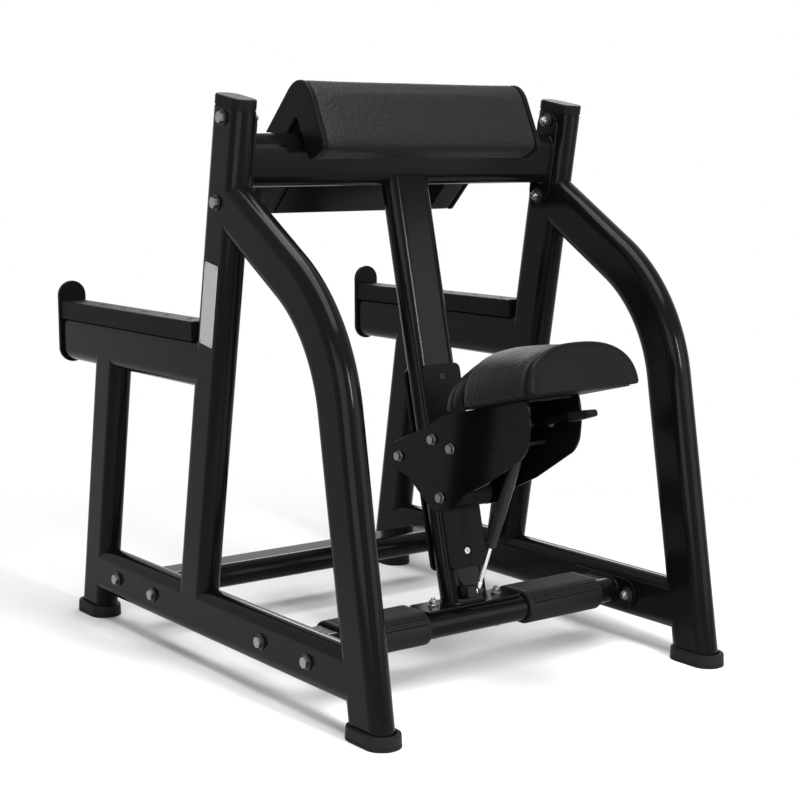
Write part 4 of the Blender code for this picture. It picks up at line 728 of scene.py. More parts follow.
def make_side_frame(side, sign):
    """The five tubes of one side, each ended where its neighbour's flat side begins."""
    x = Vector((sign * FRAME_X, 0, 0))
    rail_point = x + Vector((0, DATUM_Y, RAIL_HEIGHT))
    arm_point = x + Vector((0, 0, ARM_HEIGHT))
    front_foot, rear_foot, upright_foot = x + FRONT_FOOT, x + REAR_FOOT, x + UPRIGHT_FOOT
    sole = x + UP * (BOOT_SOLE + GAP)

    upright = tube(upright_foot, UPRIGHT_AXIS, REARWARD, 0, UPRIGHT_LENGTH - CAP_HEIGHT - GAP)
    trim(upright, x + UP * (RAIL_HEIGHT + NOSE_START), -UP)
    rail = tube(rail_point, REARWARD, UP, -PAST_END, PAST_END)
    for foot, axis, toward in ((front_foot, FRONT_LEG_AXIS, 1), (rear_foot, REAR_LEG_AXIS, -1)):
        point, normal = nose_plane(foot, axis, toward)
        trim(rail, point, -normal)
    arm = tube(arm_point, REARWARD, UP, -PAST_END, ARM_END_Y)
    point, normal = nose_plane(upright_foot, UPRIGHT_AXIS, 1)
    trim(arm, point, -normal, gap=ARM_SEAM)
    rear_leg = tube(rear_foot, REAR_LEG_AXIS, REARWARD, BELOW_FLOOR, PAST_END)
    trim(rear_leg, arm_point - UP * NOSE_START, UP)
    trim(rear_leg, sole, -UP, gap=0)
    front_leg = front_leg_shape(front_foot)
    point, normal = nose_plane(upright_foot, UPRIGHT_AXIS, -1)
    trim(front_leg, point, -normal)
    trim(front_leg, sole, -UP, gap=0)
    shapes = {
        "upright": upright, "base_rail": rail, "rack_arm": arm, "rear_leg": rear_leg, "front_leg": front_leg
    }
    for name, shape in shapes.items():
        node = side + "_" + name
        settle(node + "_tube", shape, "frame", [node], "coat")


def front_leg_shape(foot):
    """The bent leg: a lower run, the knee as one spin, and an upper run past the upright's face."""
    bend = UPPER_RUN_LEAN - FRONT_LEG_LEAN
    lower_run = KNEE_HEIGHT / cos(FRONT_LEG_LEAN) - KNEE_RADIUS * tan(bend / 2)
    bm = bmesh.new()
    ring = rounded_ring(bm, oval(TUBE_LONG, TUBE_SHORT))
    bmesh.ops.translate(bm, verts=bm.verts, vec=(0, 0, BELOW_FLOOR))
    ring = draw_out(bm, ring, Matrix.Translation((0, 0, lower_run - BELOW_FLOOR)))
    knee = bmesh.ops.spin(
        bm, geom=list(ring_verts(ring)) + ring, cent=(KNEE_RADIUS, 0, lower_run), axis=(0, 1, 0), angle=bend,
        steps=KNEE_STEPS
    )["geom_last"]
    ring = [item for item in knee if isinstance(item, bmesh.types.BMEdge)]
    draw_out(bm, ring, Matrix.Translation(Vector((sin(bend), 0, cos(bend))) * UPPER_RUN))
    close_ends(bm)
    bmesh.ops.transform(bm, matrix=axes(foot, FRONT_LEG_AXIS, REARWARD), verts=bm.verts)
    return bm


def make_boot(name, foot):
    """A moulded cup with a flared sole, a rolled upper lip and a tread groove above the floor."""
    length, width = extent(name).y, extent(name).x
    lip, lip_depth, groove = 0.0035, 0.008, 0.0012
    # Height above the floor, and how far out the wall stands there
    stations = [
        (0.0, -0.0012), (0.0012, 0.0), (0.0050, -0.0002), (0.0056, -groove), (0.0068, -groove),
        (0.0074, -0.0004), (BOOT_HEIGHT - 0.0030, -0.0010), (BOOT_HEIGHT - 0.0008, -0.0018),
        (BOOT_HEIGHT, -0.0034),
    ]
    bm = bmesh.new()
    ring = rounded_ring(bm, oval(length, width))
    grow(ring, stations[0][1])
    for before, after in zip(stations, stations[1:]):
        ring = draw_out(bm, ring, Matrix.Translation((0, 0, after[0] - before[0])))
        grow(ring, after[1] - before[1])
    ring = draw_out(bm, ring, HERE)
    grow(ring, -(width - TUBE_SHORT) / 2 + lip)
    draw_out(bm, ring, Matrix.Translation((0, 0, -lip_depth)))
    close_ends(bm)
    settle(name + "_boot", bm, "frame", [name], "rubber", axes(foot, UP, REARWARD))


def grow(ring, by):
    """Moves a flat-oval ring's points outward by a distance, away from its long centre line."""
    verts = ring_verts(ring)
    half = max(abs(vert.co.y) for vert in verts)
    reach = max(abs(vert.co.x) for vert in verts) - half
    for vert in verts:
        centre = max(-reach, min(reach, vert.co.x))
        outward = Vector((vert.co.x - centre, vert.co.y, 0)).normalized()
        vert.co += outward * by


def make_cap(side, sign):
    """The moulded cap on an upright, a shadow gap above the tube and its top edge well rounded."""
    start = Vector((sign * FRAME_X, 0, 0)) + UPRIGHT_FOOT + UPRIGHT_AXIS * (UPRIGHT_LENGTH - CAP_HEIGHT)
    neck, neck_top, rim, rim_steps = 0.0012, 0.001, 0.0035, 5
    bm = bmesh.new()
    ring = rounded_ring(bm, oval(TUBE_LONG - 2 * neck, TUBE_SHORT - 2 * neck))
    bmesh.ops.translate(bm, verts=bm.verts, vec=(0, 0, -neck_top / 2))
    ring = draw_out(bm, ring, Matrix.Translation((0, 0, neck_top * 1.5)))
    ring = draw_out(bm, ring, HERE)
    grow(ring, neck)
    ring = draw_out(bm, ring, Matrix.Translation((0, 0, CAP_HEIGHT - neck_top - rim)))
    last = 0.0
    for step in range(1, rim_steps + 1):
        angle = pi / 2 * step / rim_steps
        ring = draw_out(bm, ring, Matrix.Translation((0, 0, rim * (sin(angle) - sin(last)))))
        grow(ring, -rim * (cos(last) - cos(angle)))
        last = angle
    close_ends(bm)
    settle(
        side + "_upright_end_cap", bm, "frame", [side + "_upright_cap"], "plastic",
        axes(start, UPRIGHT_AXIS, REARWARD)
    )


# Bar-rack arms

STRIP_SCREWS = 6
STRIP_SCREW_PITCH = 0.092
STRIP_SINK = 0.0060
STRIP_EDGE = 0.004
STRIP_LIP = 0.0008
STRIP_HOLLOW = 0.0206
STRIP_HOLLOW_TOP = 0.0166
STRIP_HOLLOW_ROUND = 0.0249


def make_rack_arm(side, sign):
    """The wear strip with its countersunk screws, and the end plate."""
    low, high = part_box(side + "_wear_strip")
    half = (high.x - low.x) / 2
    apex = ARM_HEIGHT + TUBE_LONG / 2 + STRIP_HOLLOW_TOP
    corners = [
        (half, low.z, STRIP_LIP, 2), (half, high.z, STRIP_EDGE, 5), (-half, high.z, STRIP_EDGE, 5),
        (-half, low.z, STRIP_LIP, 2), (-STRIP_HOLLOW, low.z, 0, 0), (0, apex, STRIP_HOLLOW_ROUND, 14),
        (STRIP_HOLLOW, low.z, 0, 0),
    ]
    strip = settle(
        side + "_bar_strip", prism(corners, 0, high.y - low.y, 0.0008, 1), "frame", [side + "_wear_strip"],
        "plastic", axes((sign * FRAME_X, low.y, 0), REARWARD, -ACROSS)
    )
    recesses, screws = bmesh.new(), bmesh.new()
    for index in range(STRIP_SCREWS):
        y = middle(side + "_wear_strip").y + (index - (STRIP_SCREWS - 1) / 2) * STRIP_SCREW_PITCH
        spot = Matrix.Translation((sign * FRAME_X, y, high.z))
        add(recesses, turned([
            (0, -STRIP_SINK), (0.0058, -STRIP_SINK), (0.0062, -0.0006), (0.0072, 0.0006), (0, 0.0006),
        ], 28), spot)
        add(screws, socket_head(0.0050, 0.0022), spot @ Matrix.Translation((0, 0, -STRIP_SINK)))
    carve(strip, recesses)
    settle(side + "_strip_screws", screws, "frame", [], "black oxide")

    low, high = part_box(side + "_arm_end_plate")
    plate = prism(oval(high.z - low.z, high.x - low.x, 20), 0, high.y - low.y, 0.0016, 3)
    centre = (sign * FRAME_X, low.y, (low.z + high.z) / 2)
    settle(
        side + "_bar_stop_plate", plate, "frame", [side + "_arm_end_plate"], "coat",
        axes(centre, REARWARD, UP)
    )


def socket_head(radius, rise):
    """A low button head with a hexagon socket, standing on local Z = 0."""
    return turned([
        (0, 0), (radius, 0), (radius, rise * 0.35), (radius * 0.86, rise * 0.80), (radius * 0.60, rise),
        (radius * 0.46, rise), (radius * 0.44, rise * 0.35), (0, rise * 0.25),
    ], 24)


# Crossbars and frame bolts

FLANGE_THICKNESS = 0.006
FLANGE_LENGTH = 0.195
FLANGE_WIDTH = 0.060
WELD_DROP = 0.0016
WASHER_THICKNESS = 0.0025
THREAD_PITCH = 0.00175
THREAD_DEPTH = 0.0009
NUT_SHARE = 0.84
BARS = {
    "upper_crossbar": (upright_point(UPPER_BAR_HEIGHT), UPRIGHT_AXIS),
    "foot_crossbar": (Vector((0, middle("foot_crossbar").y, RAIL_HEIGHT)), REARWARD),
    "rear_crossbar": (Vector((0, middle("rear_crossbar").y, RAIL_HEIGHT)), REARWARD),
}


def make_crossbar(name):
    """A tube along X with a welded flange at each end, and a weld fillet where they meet."""
    centre, long_axis = BARS[name]
    matrix = axes(centre, ACROSS, long_axis)
    reach = extent(name).x / 2
    bm = tube(centre, ACROSS, long_axis, -reach + GAP, reach - GAP)
    bead = bmesh.new()
    for sign in (-1, 1):
        face = sign * (reach - FLANGE_THICKNESS)
        low, high = sorted((sign * reach, face))
        add(bm, prism(oval(FLANGE_LENGTH, FLANGE_WIDTH, 16), low, high, 0.0012, 2), matrix)
        path = [Vector((spot.x, spot.y, face)) for spot in oval_path(TUBE_LONG, TUBE_SHORT, WELD_DROP)]
        add(bead, weld_bead(path, 0.0026), matrix)
    settle(name + "_beam", bm, "frame", [name], "coat")
    settle(name + "_welds", bead, "frame", [], "coat", weighted=False)


def oval_path(length, width, pitch):
    """Points round a flat oval, a pitch apart."""
    radius = width / 2
    reach = length / 2 - radius
    total = 4 * reach + 2 * pi * radius
    count = round(total / pitch)
    points = []
    for index in range(count):
        run = total * index / count
        if run < 2 * reach:
            points.append(Vector((reach - run, radius)))
        elif run < 2 * reach + pi * radius:
            angle = pi / 2 + (run - 2 * reach) / radius
            points.append(Vector((-reach + radius * cos(angle), radius * sin(angle))))
        elif run < 4 * reach + pi * radius:
            points.append(Vector((-reach + run - 2 * reach - pi * radius, -radius)))
        else:
            angle = -pi / 2 + (run - 4 * reach - pi * radius) / radius
            points.append(Vector((reach + radius * cos(angle), radius * sin(angle))))
    return points


def weld_bead(path, radius):
    """A closed bead along a path, its width rising and falling with each drop of the weld."""
    frames = []
    for index, point in enumerate(path):
        ahead = path[(index + 1) % len(path)] - path[index - 1]
        lean = UP if abs(ahead.normalized().z) < 0.9 else ACROSS
        swell = 1.0 + 0.16 * (1 if index % 3 == 0 else -0.5)
        frames.append(axes(point, ahead, lean) @ Matrix.Diagonal((swell, swell, 1, 1)))
    bm = bmesh.new()
    verts = bmesh.ops.create_circle(bm, segments=8, radius=radius)["verts"]
    first = list({edge for vert in verts for edge in vert.link_edges})
    bmesh.ops.transform(bm, matrix=frames[0], verts=verts)
    edges = first
    for before, after in zip(frames, frames[1:]):
        edges = draw_out(bm, edges, after @ before.inverted())
    bmesh.ops.bridge_loops(bm, edges=edges + first)
    return bm


def bolt(flats, head, washer, grip, diameter):
    """A hexagon bolt through its grip, from its head at Z below 0 to its nut; washers are apart."""
    radius = diameter / 2
    head_face, nut_face = -GAP - WASHER_THICKNESS, grip + GAP + WASHER_THICKNESS
    nut = diameter * NUT_SHARE
    metal = bmesh.new()
    add(metal, hexagon(flats, head_face - head, head_face, True, False))
    add(metal, hexagon(flats, nut_face, nut_face + nut * 0.72))
    collar = flats * 0.44
    add(metal, turned([
        (radius, nut_face + nut * 0.70), (collar, nut_face + nut * 0.70), (collar, nut_face + nut * 0.90),
        (collar * 0.93, nut_face + nut), (radius, nut_face + nut),
    ], 28, ring=True))
    thread = []
    tip = nut_face + nut + 0.004
    height = nut_face + nut * 0.6
    while height < tip - THREAD_PITCH:
        thread += [(radius, height), (radius - THREAD_DEPTH, height + THREAD_PITCH / 2)]
        height += THREAD_PITCH
    add(metal, turned([
        (0, nut_face), (radius - THREAD_DEPTH, nut_face), *thread, (radius - 0.0004, tip - 0.001),
        (radius - 0.0014, tip), (0, tip),
    ], 20))
    rings = bmesh.new()
    for low in (head_face, grip + GAP):
        add(rings, washer_ring(radius + 0.0005, washer / 2, low, low + WASHER_THICKNESS, 0.0005, 36))
    return metal, rings


def bolt_pair(matrix, reach, turns, *sizes):
    """Two bolts, each turned a little, at a reach to either side; gives their metal and their washers."""
    metal, rings = bmesh.new(), bmesh.new()
    for turn, x in zip(turns, (-reach, reach)):
        bolts, washers = bolt(*sizes)
        spot = matrix @ Matrix.Translation((x, 0, 0)) @ Matrix.Rotation(radians(turn), 4, "Z")
        add(metal, bolts, spot)
        add(rings, washers, spot)
    return metal, rings


def make_frame_bolts(name, side, sign):
    """The two bolts that clamp one end of a crossbar, heads outside and nuts inside."""
    sizes = hardware()
    centre, long_axis = BARS[name]
    node = name.replace("crossbar", side + "_bolts")
    matrix = axes(centre + ACROSS * sign * (FRAME_X + TUBE_ROUND), ACROSS * -sign, long_axis)
    grip = TUBE_SHORT + GAP + FLANGE_THICKNESS
    metal, rings = bolt_pair(matrix, sizes.pitch / 2, (8, 23), sizes.flats, 0.0075, sizes.washer, grip, 0.012)
    settle(node + "_hex", metal, "frame", [node], "zinc")
    settle(node + "_washers", rings, "frame", [], "black oxide")


def make_post_base_bolts():
    """The two bolts that hold the post's base plate, nuts and bright washers on top."""
    matrix = axes((0, middle("foot_crossbar").y, RAIL_HEIGHT - TUBE_SHORT / 2), UP, ACROSS)
    grip = TUBE_SHORT + GAP + POST_BASE_THICKNESS
    metal, rings = bolt_pair(matrix, 0.077, (14, -9), 0.016, 0.0064, 0.021, grip, 0.010)
    add(metal, rings)
    settle("post_base_hex_bolts", metal, "frame", ["post_base_bolts"], "zinc")


# Foot grips

GRIP_WALL = 0.0075
GRIP_END_ROUND = 0.0050
RIB_PITCH = 0.0062
RIB_DEPTH = 0.0026
TUBE_REACH = (TUBE_LONG - TUBE_SHORT) / 2


def make_foot_grip(side):
    """A rubber sleeve with lengthwise ribs over its top, and rounded, slightly rolled ends."""
    node = side + "_foot_grip"
    low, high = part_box(node)
    centre = Vector((0, BARS["foot_crossbar"][0].y, RAIL_HEIGHT))
    points = oval_path(TUBE_LONG + 2 * GRIP_WALL, TUBE_SHORT + 2 * GRIP_WALL, 0.0011)
    # Place along the bar, how far out the wall stands, and the share of the ribs' depth
    stations = []
    for step in range(6):
        angle = pi / 2 * step / 5
        out = -GRIP_END_ROUND * (1 - sin(angle)) * 0.8
        stations.append((low.x + GRIP_END_ROUND * (1 - cos(angle)), out, 0.0))
    stations += [(low.x + 0.010, 0.0, 0.0), (low.x + 0.013, 0.0, 1.0)]
    stations += [(low.x + high.x - x, out, ribbed) for x, out, ribbed in reversed(stations)]
    bm = bmesh.new()
    verts = [bm.verts.new((spot.x, spot.y, stations[0][0])) for spot in points]
    ring = [bm.edges.new(pair) for pair in zip(verts, verts[1:] + verts[:1])]
    shape_grip_ring(ring, points, stations[0])
    for before, after in zip(stations, stations[1:]):
        ring = draw_out(bm, ring, Matrix.Translation((0, 0, after[0] - before[0])))
        shape_grip_ring(ring, points, after)
    inner = draw_out(bm, ring, HERE)
    shrink_to_bore(inner)
    first = [edge for edge in bm.edges if edge.is_boundary and edge not in inner]
    inner_first = draw_out(bm, first, HERE)
    shrink_to_bore(inner_first)
    bmesh.ops.bridge_loops(bm, edges=inner + inner_first)
    bmesh.ops.recalc_face_normals(bm, faces=bm.faces)
    settle(
        node + "_sleeve", bm, "frame", [node], "rubber", axes(centre, ACROSS, REARWARD),
        weighted=False
    )


def shape_grip_ring(ring, points, station):
    """Sets a sleeve ring to its station, with its ribs over the top and the front edge."""
    _, out, ribbed = station
    for vert in ring_verts(ring):
        nearest = min(points, key=lambda spot: (spot.x - vert.co.x) ** 2 + (spot.y - vert.co.y) ** 2)
        centre = Vector((max(-TUBE_REACH, min(TUBE_REACH, nearest.x)), 0))
        outward = (nearest - centre).normalized()
        run = nearest.x
        if outward.y <= 0.999:
            end = TUBE_REACH if nearest.x > 0 else -TUBE_REACH
            run = end + (pi / 2 - atan2(outward.y, outward.x)) * (TUBE_ROUND + GRIP_WALL)
        wave = max(0.0, cos(2 * pi * run / RIB_PITCH)) ** 3 if outward.y > 0.35 else 0.0
        vert.co.xy = nearest + outward * (out - RIB_DEPTH * wave * ribbed)


def shrink_to_bore(ring):
    for vert in ring_verts(ring):
        centre = Vector((max(-TUBE_REACH, min(TUBE_REACH, vert.co.x)), 0))
        vert.co.xy = centre + (vert.co.xy - centre).normalized() * (TUBE_ROUND + GAP)


# Seat post and guides

def make_seat_post():
    """The leaning tube, cut at the crossbar above it, its base plate and the weld between them."""
    bm = tube(POST_FOOT, POST.col[2].to_3d(), ACROSS, 0, POST_TOP)
    low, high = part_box("seat_post")
    trim(bm, Vector((0, 0, low.z + POST_BASE_THICKNESS / 2)), -UP, gap=0)
    trim(bm, BARS["upper_crossbar"][0] - UPRIGHT_AXIS * NOSE_START, UPRIGHT_AXIS, gap=0)
    base = prism(
        rectangle(-high.x, high.x, -POST_BASE_HALF_WIDTH, POST_BASE_HALF_WIDTH, POST_BASE_CORNER), 0,
        POST_BASE_THICKNESS, 0.0008, 2
    )
    add(bm, base, Matrix.Translation((0, middle("foot_crossbar").y + POST_BASE_SHIFT, low.z)))
    settle("seat_post_weldment", bm, "frame", ["seat_post"], "coat")
    top = low.z + POST_BASE_THICKNESS
    foot_y = (POST @ Vector((0, 0, top / cos(POST_LEAN)))).y
    path = [
        Vector((spot.x, foot_y + spot.y / cos(POST_LEAN), top))
        for spot in oval_path(TUBE_LONG, TUBE_SHORT, WELD_DROP)
    ]
    settle("seat_post_weld", weld_bead(path, 0.0024), "frame", [], "coat", weighted=False)


def make_guides():
    """The two strips that the rollers run on, each with a countersunk screw near both ends."""
    half = GUIDE_WIDTH / 2
    screws, upper_screws = bmesh.new(), bmesh.new()
    for end, sign in (("front", -1), ("rear", 1)):
        matrix = POST @ axes((0, sign * (TUBE_ROUND + GAP), 0), (0, sign, 0), (-sign, 0, 0))
        strip = prism(
            rectangle(-half, half, GUIDE_BOTTOM, GUIDE_TOP, GUIDE_CORNER), 0, GUIDE_THICKNESS, 0.0010, 2
        )
        piece = settle(
            end + "_slide_strip", strip, "frame", [end + "_guide_strip"], "acetal", matrix
        )
        sinks = bmesh.new()
        for height, kept_in in zip(GUIDE_SCREWS, (screws, upper_screws)):
            spot = matrix @ Matrix.Translation((0, height, GUIDE_THICKNESS))
            add(sinks, turned([(0, -0.0052), (0.0034, -0.0050), (0.0071, 0.0004), (0, 0.0004)], 28), spot)
            add(kept_in, turned([
                (0, -0.0048), (0.0030, -0.0046), (0.0063, -0.0006), (0.0060, -0.0002), (0.0028, -0.0002),
                (0.0026, -0.0020), (0, -0.0024),
            ], 28), spot)
        carve(piece, sinks)
    nodes = ["front_guide_screw", "rear_guide_screw"]
    settle("guide_strip_screws", screws, "frame", nodes, "zinc")
    settle("guide_strip_upper_screws", upper_screws, "frame", [], "black oxide")


# Seat carriage

# Outline of a side plate: place along and up the post, radius and steps of each corner
PLATE_CORNERS = [
    (-0.3445, SIDE_PLATE_TOP, 0.004, 4), (-0.3475, 0.4580, 0.100, 12), (-0.3250, 0.3950, 0.050, 14),
    (-0.1950, 0.3520, 0.120, 8), (-0.1275, 0.3380, 0.060, 8), (-0.0900, 0.3160, 0.040, 10),
    (-0.0250, 0.3130, 0.030, 14), (0.0366, 0.3849, 0.030, 8), (0.0850, 0.4120, 0.022, 14),
    (0.0840, 0.4560, 0.018, 14), (-0.0342, 0.4747, 0.040, 8), (-0.1000, SIDE_PLATE_TOP, 0.030, 8),
]


def make_carriage_plates():
    """Two laser-cut plates, their edges eased, with the socket heads of the spring's studs."""
    stud_start, stud_radius, drill = 0.0118, 0.0040, 0.0042
    length = SIDE_PLATE_OUTER_X - stud_start
    for side, sign in SIDES:
        low, high = sorted((sign * SIDE_PLATE_INNER_X, sign * SIDE_PLATE_OUTER_X))
        piece = settle(
            side + "_cut_plate", prism(PLATE_CORNERS[::-1], low, high, 0.0007, 2), "seat_carriage",
            [side + "_carriage_plate"], "plate", CARRIAGE
        )
        place = CARRIAGE @ Matrix.Translation((-SPRING_UPPER[0], SPRING_UPPER[1], sign * SIDE_PLATE_OUTER_X))
        hole = bmesh.new()
        add(hole, turned([(0, -0.010), (drill, -0.010), (drill, 0.010), (0, 0.010)], 28), place)
        carve(piece, hole)
        stud = turned([
            (0, -length), (stud_radius, -length), (stud_radius, -0.0016), (0.0036, -0.0010),
            (0.0022, -0.0010), (0.0020, -0.0034), (0, -0.0038),
        ], 24)
        flip = Matrix.Rotation(0 if sign > 0 else pi, 4, "Y")
        settle(
            side + "_spring_stud", stud, "seat_carriage", [], "black oxide", place @ flip
        )


def make_rollers_and_axles():
    """The three rollers with their bearings, their through bolts, and the spacer."""
    half, edge, bore, bearing = 0.044, 0.0015, 0.0056, 0.0125
    race = half - 0.0012
    profile = [
        (bore, -half), (0.0085, -half), (0.0090, -race), (bearing, -race), (bearing + 0.0008, -half),
        (ROLLER_RADIUS - edge, -half), (ROLLER_RADIUS, -half + edge), (ROLLER_RADIUS, half - edge),
        (ROLLER_RADIUS - edge, half), (bearing + 0.0008, half), (bearing, race), (0.0090, race),
        (0.0085, half), (bore, half),
    ]
    for name, (ahead, height) in ROLLERS.items():
        settle(
            name + "_roller_wheel", turned(profile, 48, ring=True), name + "_roller",
            [name + "_guide_roller"], "acetal", on_carriage(ahead, height)
        )
    for name, (ahead, height) in ROLLERS.items():
        make_axle_bolt(name + "_roller_axle", on_carriage(ahead, height), twist=19)
    make_axle_bolt("spacer_bolt", on_carriage(*SPACER), twist=11, spacer=True)


def make_axle_bolt(node, place, twist, spacer=False):
    """A bolt across the carriage with a washer at both ends, and a spacer tube on it where asked."""
    outer = SIDE_PLATE_OUTER_X + GAP
    washer_thickness, washer_radius = 0.002, 0.0100
    head_face = -outer - washer_thickness
    nut_face = outer + washer_thickness
    radius, flats, head, nut, collar = 0.0050, 0.016, 0.0065, 0.008, 0.0070
    bm = bmesh.new()
    turn = Matrix.Rotation(radians(twist), 4, "Z")
    add(bm, hexagon(flats, head_face - head, head_face, True, False), turn)
    add(bm, hexagon(flats, nut_face, nut_face + nut * 0.75), turn)
    add(bm, turned([
        (radius, nut_face + nut * 0.7), (collar, nut_face + nut * 0.7), (collar, nut_face + nut * 0.92),
        (0.0064, nut_face + nut), (radius, nut_face + nut),
    ], 24, ring=True))
    for low in (head_face, outer):
        add(bm, washer_ring(0.0054, washer_radius, low, low + washer_thickness, 0.0004, 32))
    tip = nut_face + nut + 0.003
    add(bm, turned([
        (0, head_face), (radius, head_face), (radius, tip - 0.0010), (radius - 0.0010, tip), (0, tip),
    ], 24))
    if spacer:
        inner = SIDE_PLATE_INNER_X - GAP
        add(bm, turned([(0.0055, -inner), (0.0090, -inner), (0.0090, inner), (0.0055, inner)], 28, ring=True))
    settle(node + "_hex", bm, "seat_carriage", [node], "zinc", place)


# Seat

SEAT_HALF_WIDTH = 0.130
BOARD_THICKNESS = 0.006
BOARD_INSET = 0.006
BOARD_CORNER = 0.020
BOARD_RUN = (0.187, 0.4242)
SUPPORT_RUN = (0.110, 0.335)
SUPPORT_THICKNESS = 0.005
SEAT_BOTTOM = SIDE_PLATE_TOP + 2 * GAP + BOARD_THICKNESS
SEAT_LIP_DROP = 0.0045
SEAT_SWELL_START = 0.004
SEAT_SWELL_FADE = 0.02
# Sections: distance ahead, share of the half width, height, fullness of the arch
SEAT_TAIL = [
    (0.1812, 0.850, 0.0650, 1.90), (0.1835, 0.885, 0.0700, 1.90), (0.1900, 0.915, 0.0755, 1.90),
    (0.2060, 0.938, 0.0800, 1.90), (0.2085, 0.925, 0.0785, 1.90),
]
SEAT_REAR_BAND = [
    (0.2100, 0.938, 0.0800, 1.90), (0.2130, 0.956, 0.0838, 1.90), (0.2250, 0.966, 0.0862, 1.92),
    (0.2400, 0.970, 0.0875, 1.95), (0.2435, 0.955, 0.0850, 1.95),
]
SEAT_BODY = [
    (0.2452, 0.950, 0.0845, 2.15), (0.2510, 0.985, 0.0895, 2.20), (0.285, 0.998, 0.0900, 2.25),
    (0.325, 0.998, 0.0865, 2.42), (0.370, 0.998, 0.0804, 2.44), (0.405, 0.993, 0.0769, 2.44),
    (0.4165, 0.982, 0.0755, 2.42),
]
SEAT_FRONT_PANEL = [
    (0.4172, 0.978, 0.0745, 2.42), (0.4195, 0.992, 0.0775, 2.42), (0.4240, 0.998, 0.0800, 2.44),
    (0.4290, 0.996, 0.0798, 2.44), (0.4335, 0.982, 0.0785, 2.43), (0.4362, 0.955, 0.0758, 2.42),
    (0.4373, 0.915, 0.0718, 2.41), (0.4374, 0.880, 0.0682, 2.40), (0.4366, 0.850, 0.0654, 2.39),
    (0.4364, 0.800, 0.0610, 2.38), (0.4368, 0.620, 0.0465, 2.36), (0.4372, 0.380, 0.0280, 2.34),
    (0.4373, 0.140, 0.0100, 2.32),
]
ARCH_STEPS = 40
FLAT_STEPS = 20


def arch_loop(bm, ahead, share, height, fullness, drop):
    """One cross-section of the seat, as a closed ring: a barrel's arch on a flat base."""
    verts = []
    half_width = SEAT_HALF_WIDTH * share
    for step in range(ARCH_STEPS + 1):
        angle = pi - pi * step / ARCH_STEPS
        x = abs(cos(angle)) ** (2 / fullness) * half_width * (1 if cos(angle) > 0 else -1)
        z = abs(sin(angle)) ** (2 / fullness) * (height + drop)
        verts.append(bm.verts.new((x, -ahead, SEAT_BOTTOM - drop + z)))
    for step in range(1, FLAT_STEPS):
        x = half_width * (1 - 2 * step / FLAT_STEPS)
        verts.append(bm.verts.new((x, -ahead, SEAT_BOTTOM - drop)))
    return [bm.edges.new(pair) for pair in zip(verts, verts[1:] + verts[:1])]


def arched_form(sections, drop=0.0):
    """A closed form through cross-sections of the seat."""
    bm = bmesh.new()
    loops = [arch_loop(bm, *section, drop) for section in sections]
    for before, after in zip(loops, loops[1:]):
        bmesh.ops.bridge_loops(bm, edges=before + after)
    for end in (loops[0], loops[-1]):
        bmesh.ops.edgeloop_fill(bm, edges=end)
    bmesh.ops.recalc_face_normals(bm, faces=bm.faces)
    return bm


def make_seat():
    """The padded seat: grained body, plain front panel and rear bands, on a moulded board and a plate."""
    piece = settle(
        "seat_cushion_body", arched_form(SEAT_BODY, SEAT_LIP_DROP), "seat_carriage", ["seat_pad"],
        "leather", POST, weighted=False
    )
    flat = SEAT_BOTTOM + SEAT_SWELL_START
    to_post = POST.inverted()
    inflate(piece, lambda point: min(1.0, max(0.0, ((to_post @ point).z - flat) / SEAT_SWELL_FADE)))

    panels = {"front": SEAT_FRONT_PANEL, "rear": SEAT_REAR_BAND, "tail": SEAT_TAIL}
    for name, sections in panels.items():
        piece = settle(
            "seat_cushion_" + name, arched_form(sections, SEAT_LIP_DROP), "seat_carriage", ["seat_pad"],
            "smooth leather", POST, weighted=False
        )
        soften(piece)

    low = SIDE_PLATE_TOP + GAP
    reach = SEAT_HALF_WIDTH - BOARD_INSET
    board = prism(
        rectangle(-reach, reach, -BOARD_RUN[1], -BOARD_RUN[0], BOARD_CORNER, 10), low, low + BOARD_THICKNESS,
        0.0010, 2
    )
    settle("seat_base_board", board, "seat_carriage", ["seat_board"], "plastic", POST)
    inner = SIDE_PLATE_INNER_X - GAP
    support = prism(
        rectangle(-inner, inner, -SUPPORT_RUN[1], -SUPPORT_RUN[0], 0.002, 2),
        SIDE_PLATE_TOP - SUPPORT_THICKNESS, SIDE_PLATE_TOP, 0.0006, 1
    )
    settle("seat_support_sheet", support, "seat_carriage", ["seat_support_plate"], "coat", POST)


CLOTH_FRAMES = 20


def soften(piece, levels=2):
    modifier = piece.modifiers.new("Smooth", "SUBSURF")
    modifier.levels = levels
    modifier.render_levels = levels


def inflate(piece, weight):
    """Swells a closed form as foam swells its cover, and bakes the result. Points move by their weight."""
    settings = pads()
    remesh = piece.modifiers.new("Remesh", "REMESH")
    remesh.mode = "VOXEL"
    remesh.voxel_size = settings.voxel
    even = piece.modifiers.new("Even", "SMOOTH")
    even.factor = 0.5
    even.iterations = 4
    bake(piece)
    rest = [vert.co.copy() for vert in piece.data.vertices]
    cloth = piece.modifiers.new("Cloth", "CLOTH")
    cloth.settings.quality = 4
    cloth.settings.mass = 0.4
    cloth.settings.tension_stiffness = 25
    cloth.settings.compression_stiffness = 25
    cloth.settings.bending_stiffness = 2.0
    cloth.settings.use_pressure = True
    cloth.settings.uniform_pressure_force = settings.pressure
    cloth.settings.effector_weights.gravity = 0
    for number in range(1, CLOTH_FRAMES + 1):
        bpy.context.scene.frame_set(number)
    bake(piece)
    bpy.context.scene.frame_set(1)
    for vert, start in zip(piece.data.vertices, rest):
        move = vert.co - start
        if move.length > settings.swell:
            move = move.normalized() * settings.swell
        vert.co = start + move * weight(start)
    piece.data.shade_smooth()
    soften(piece, 1)


# Arm pad, drawn from the meeting point of its two outer faces

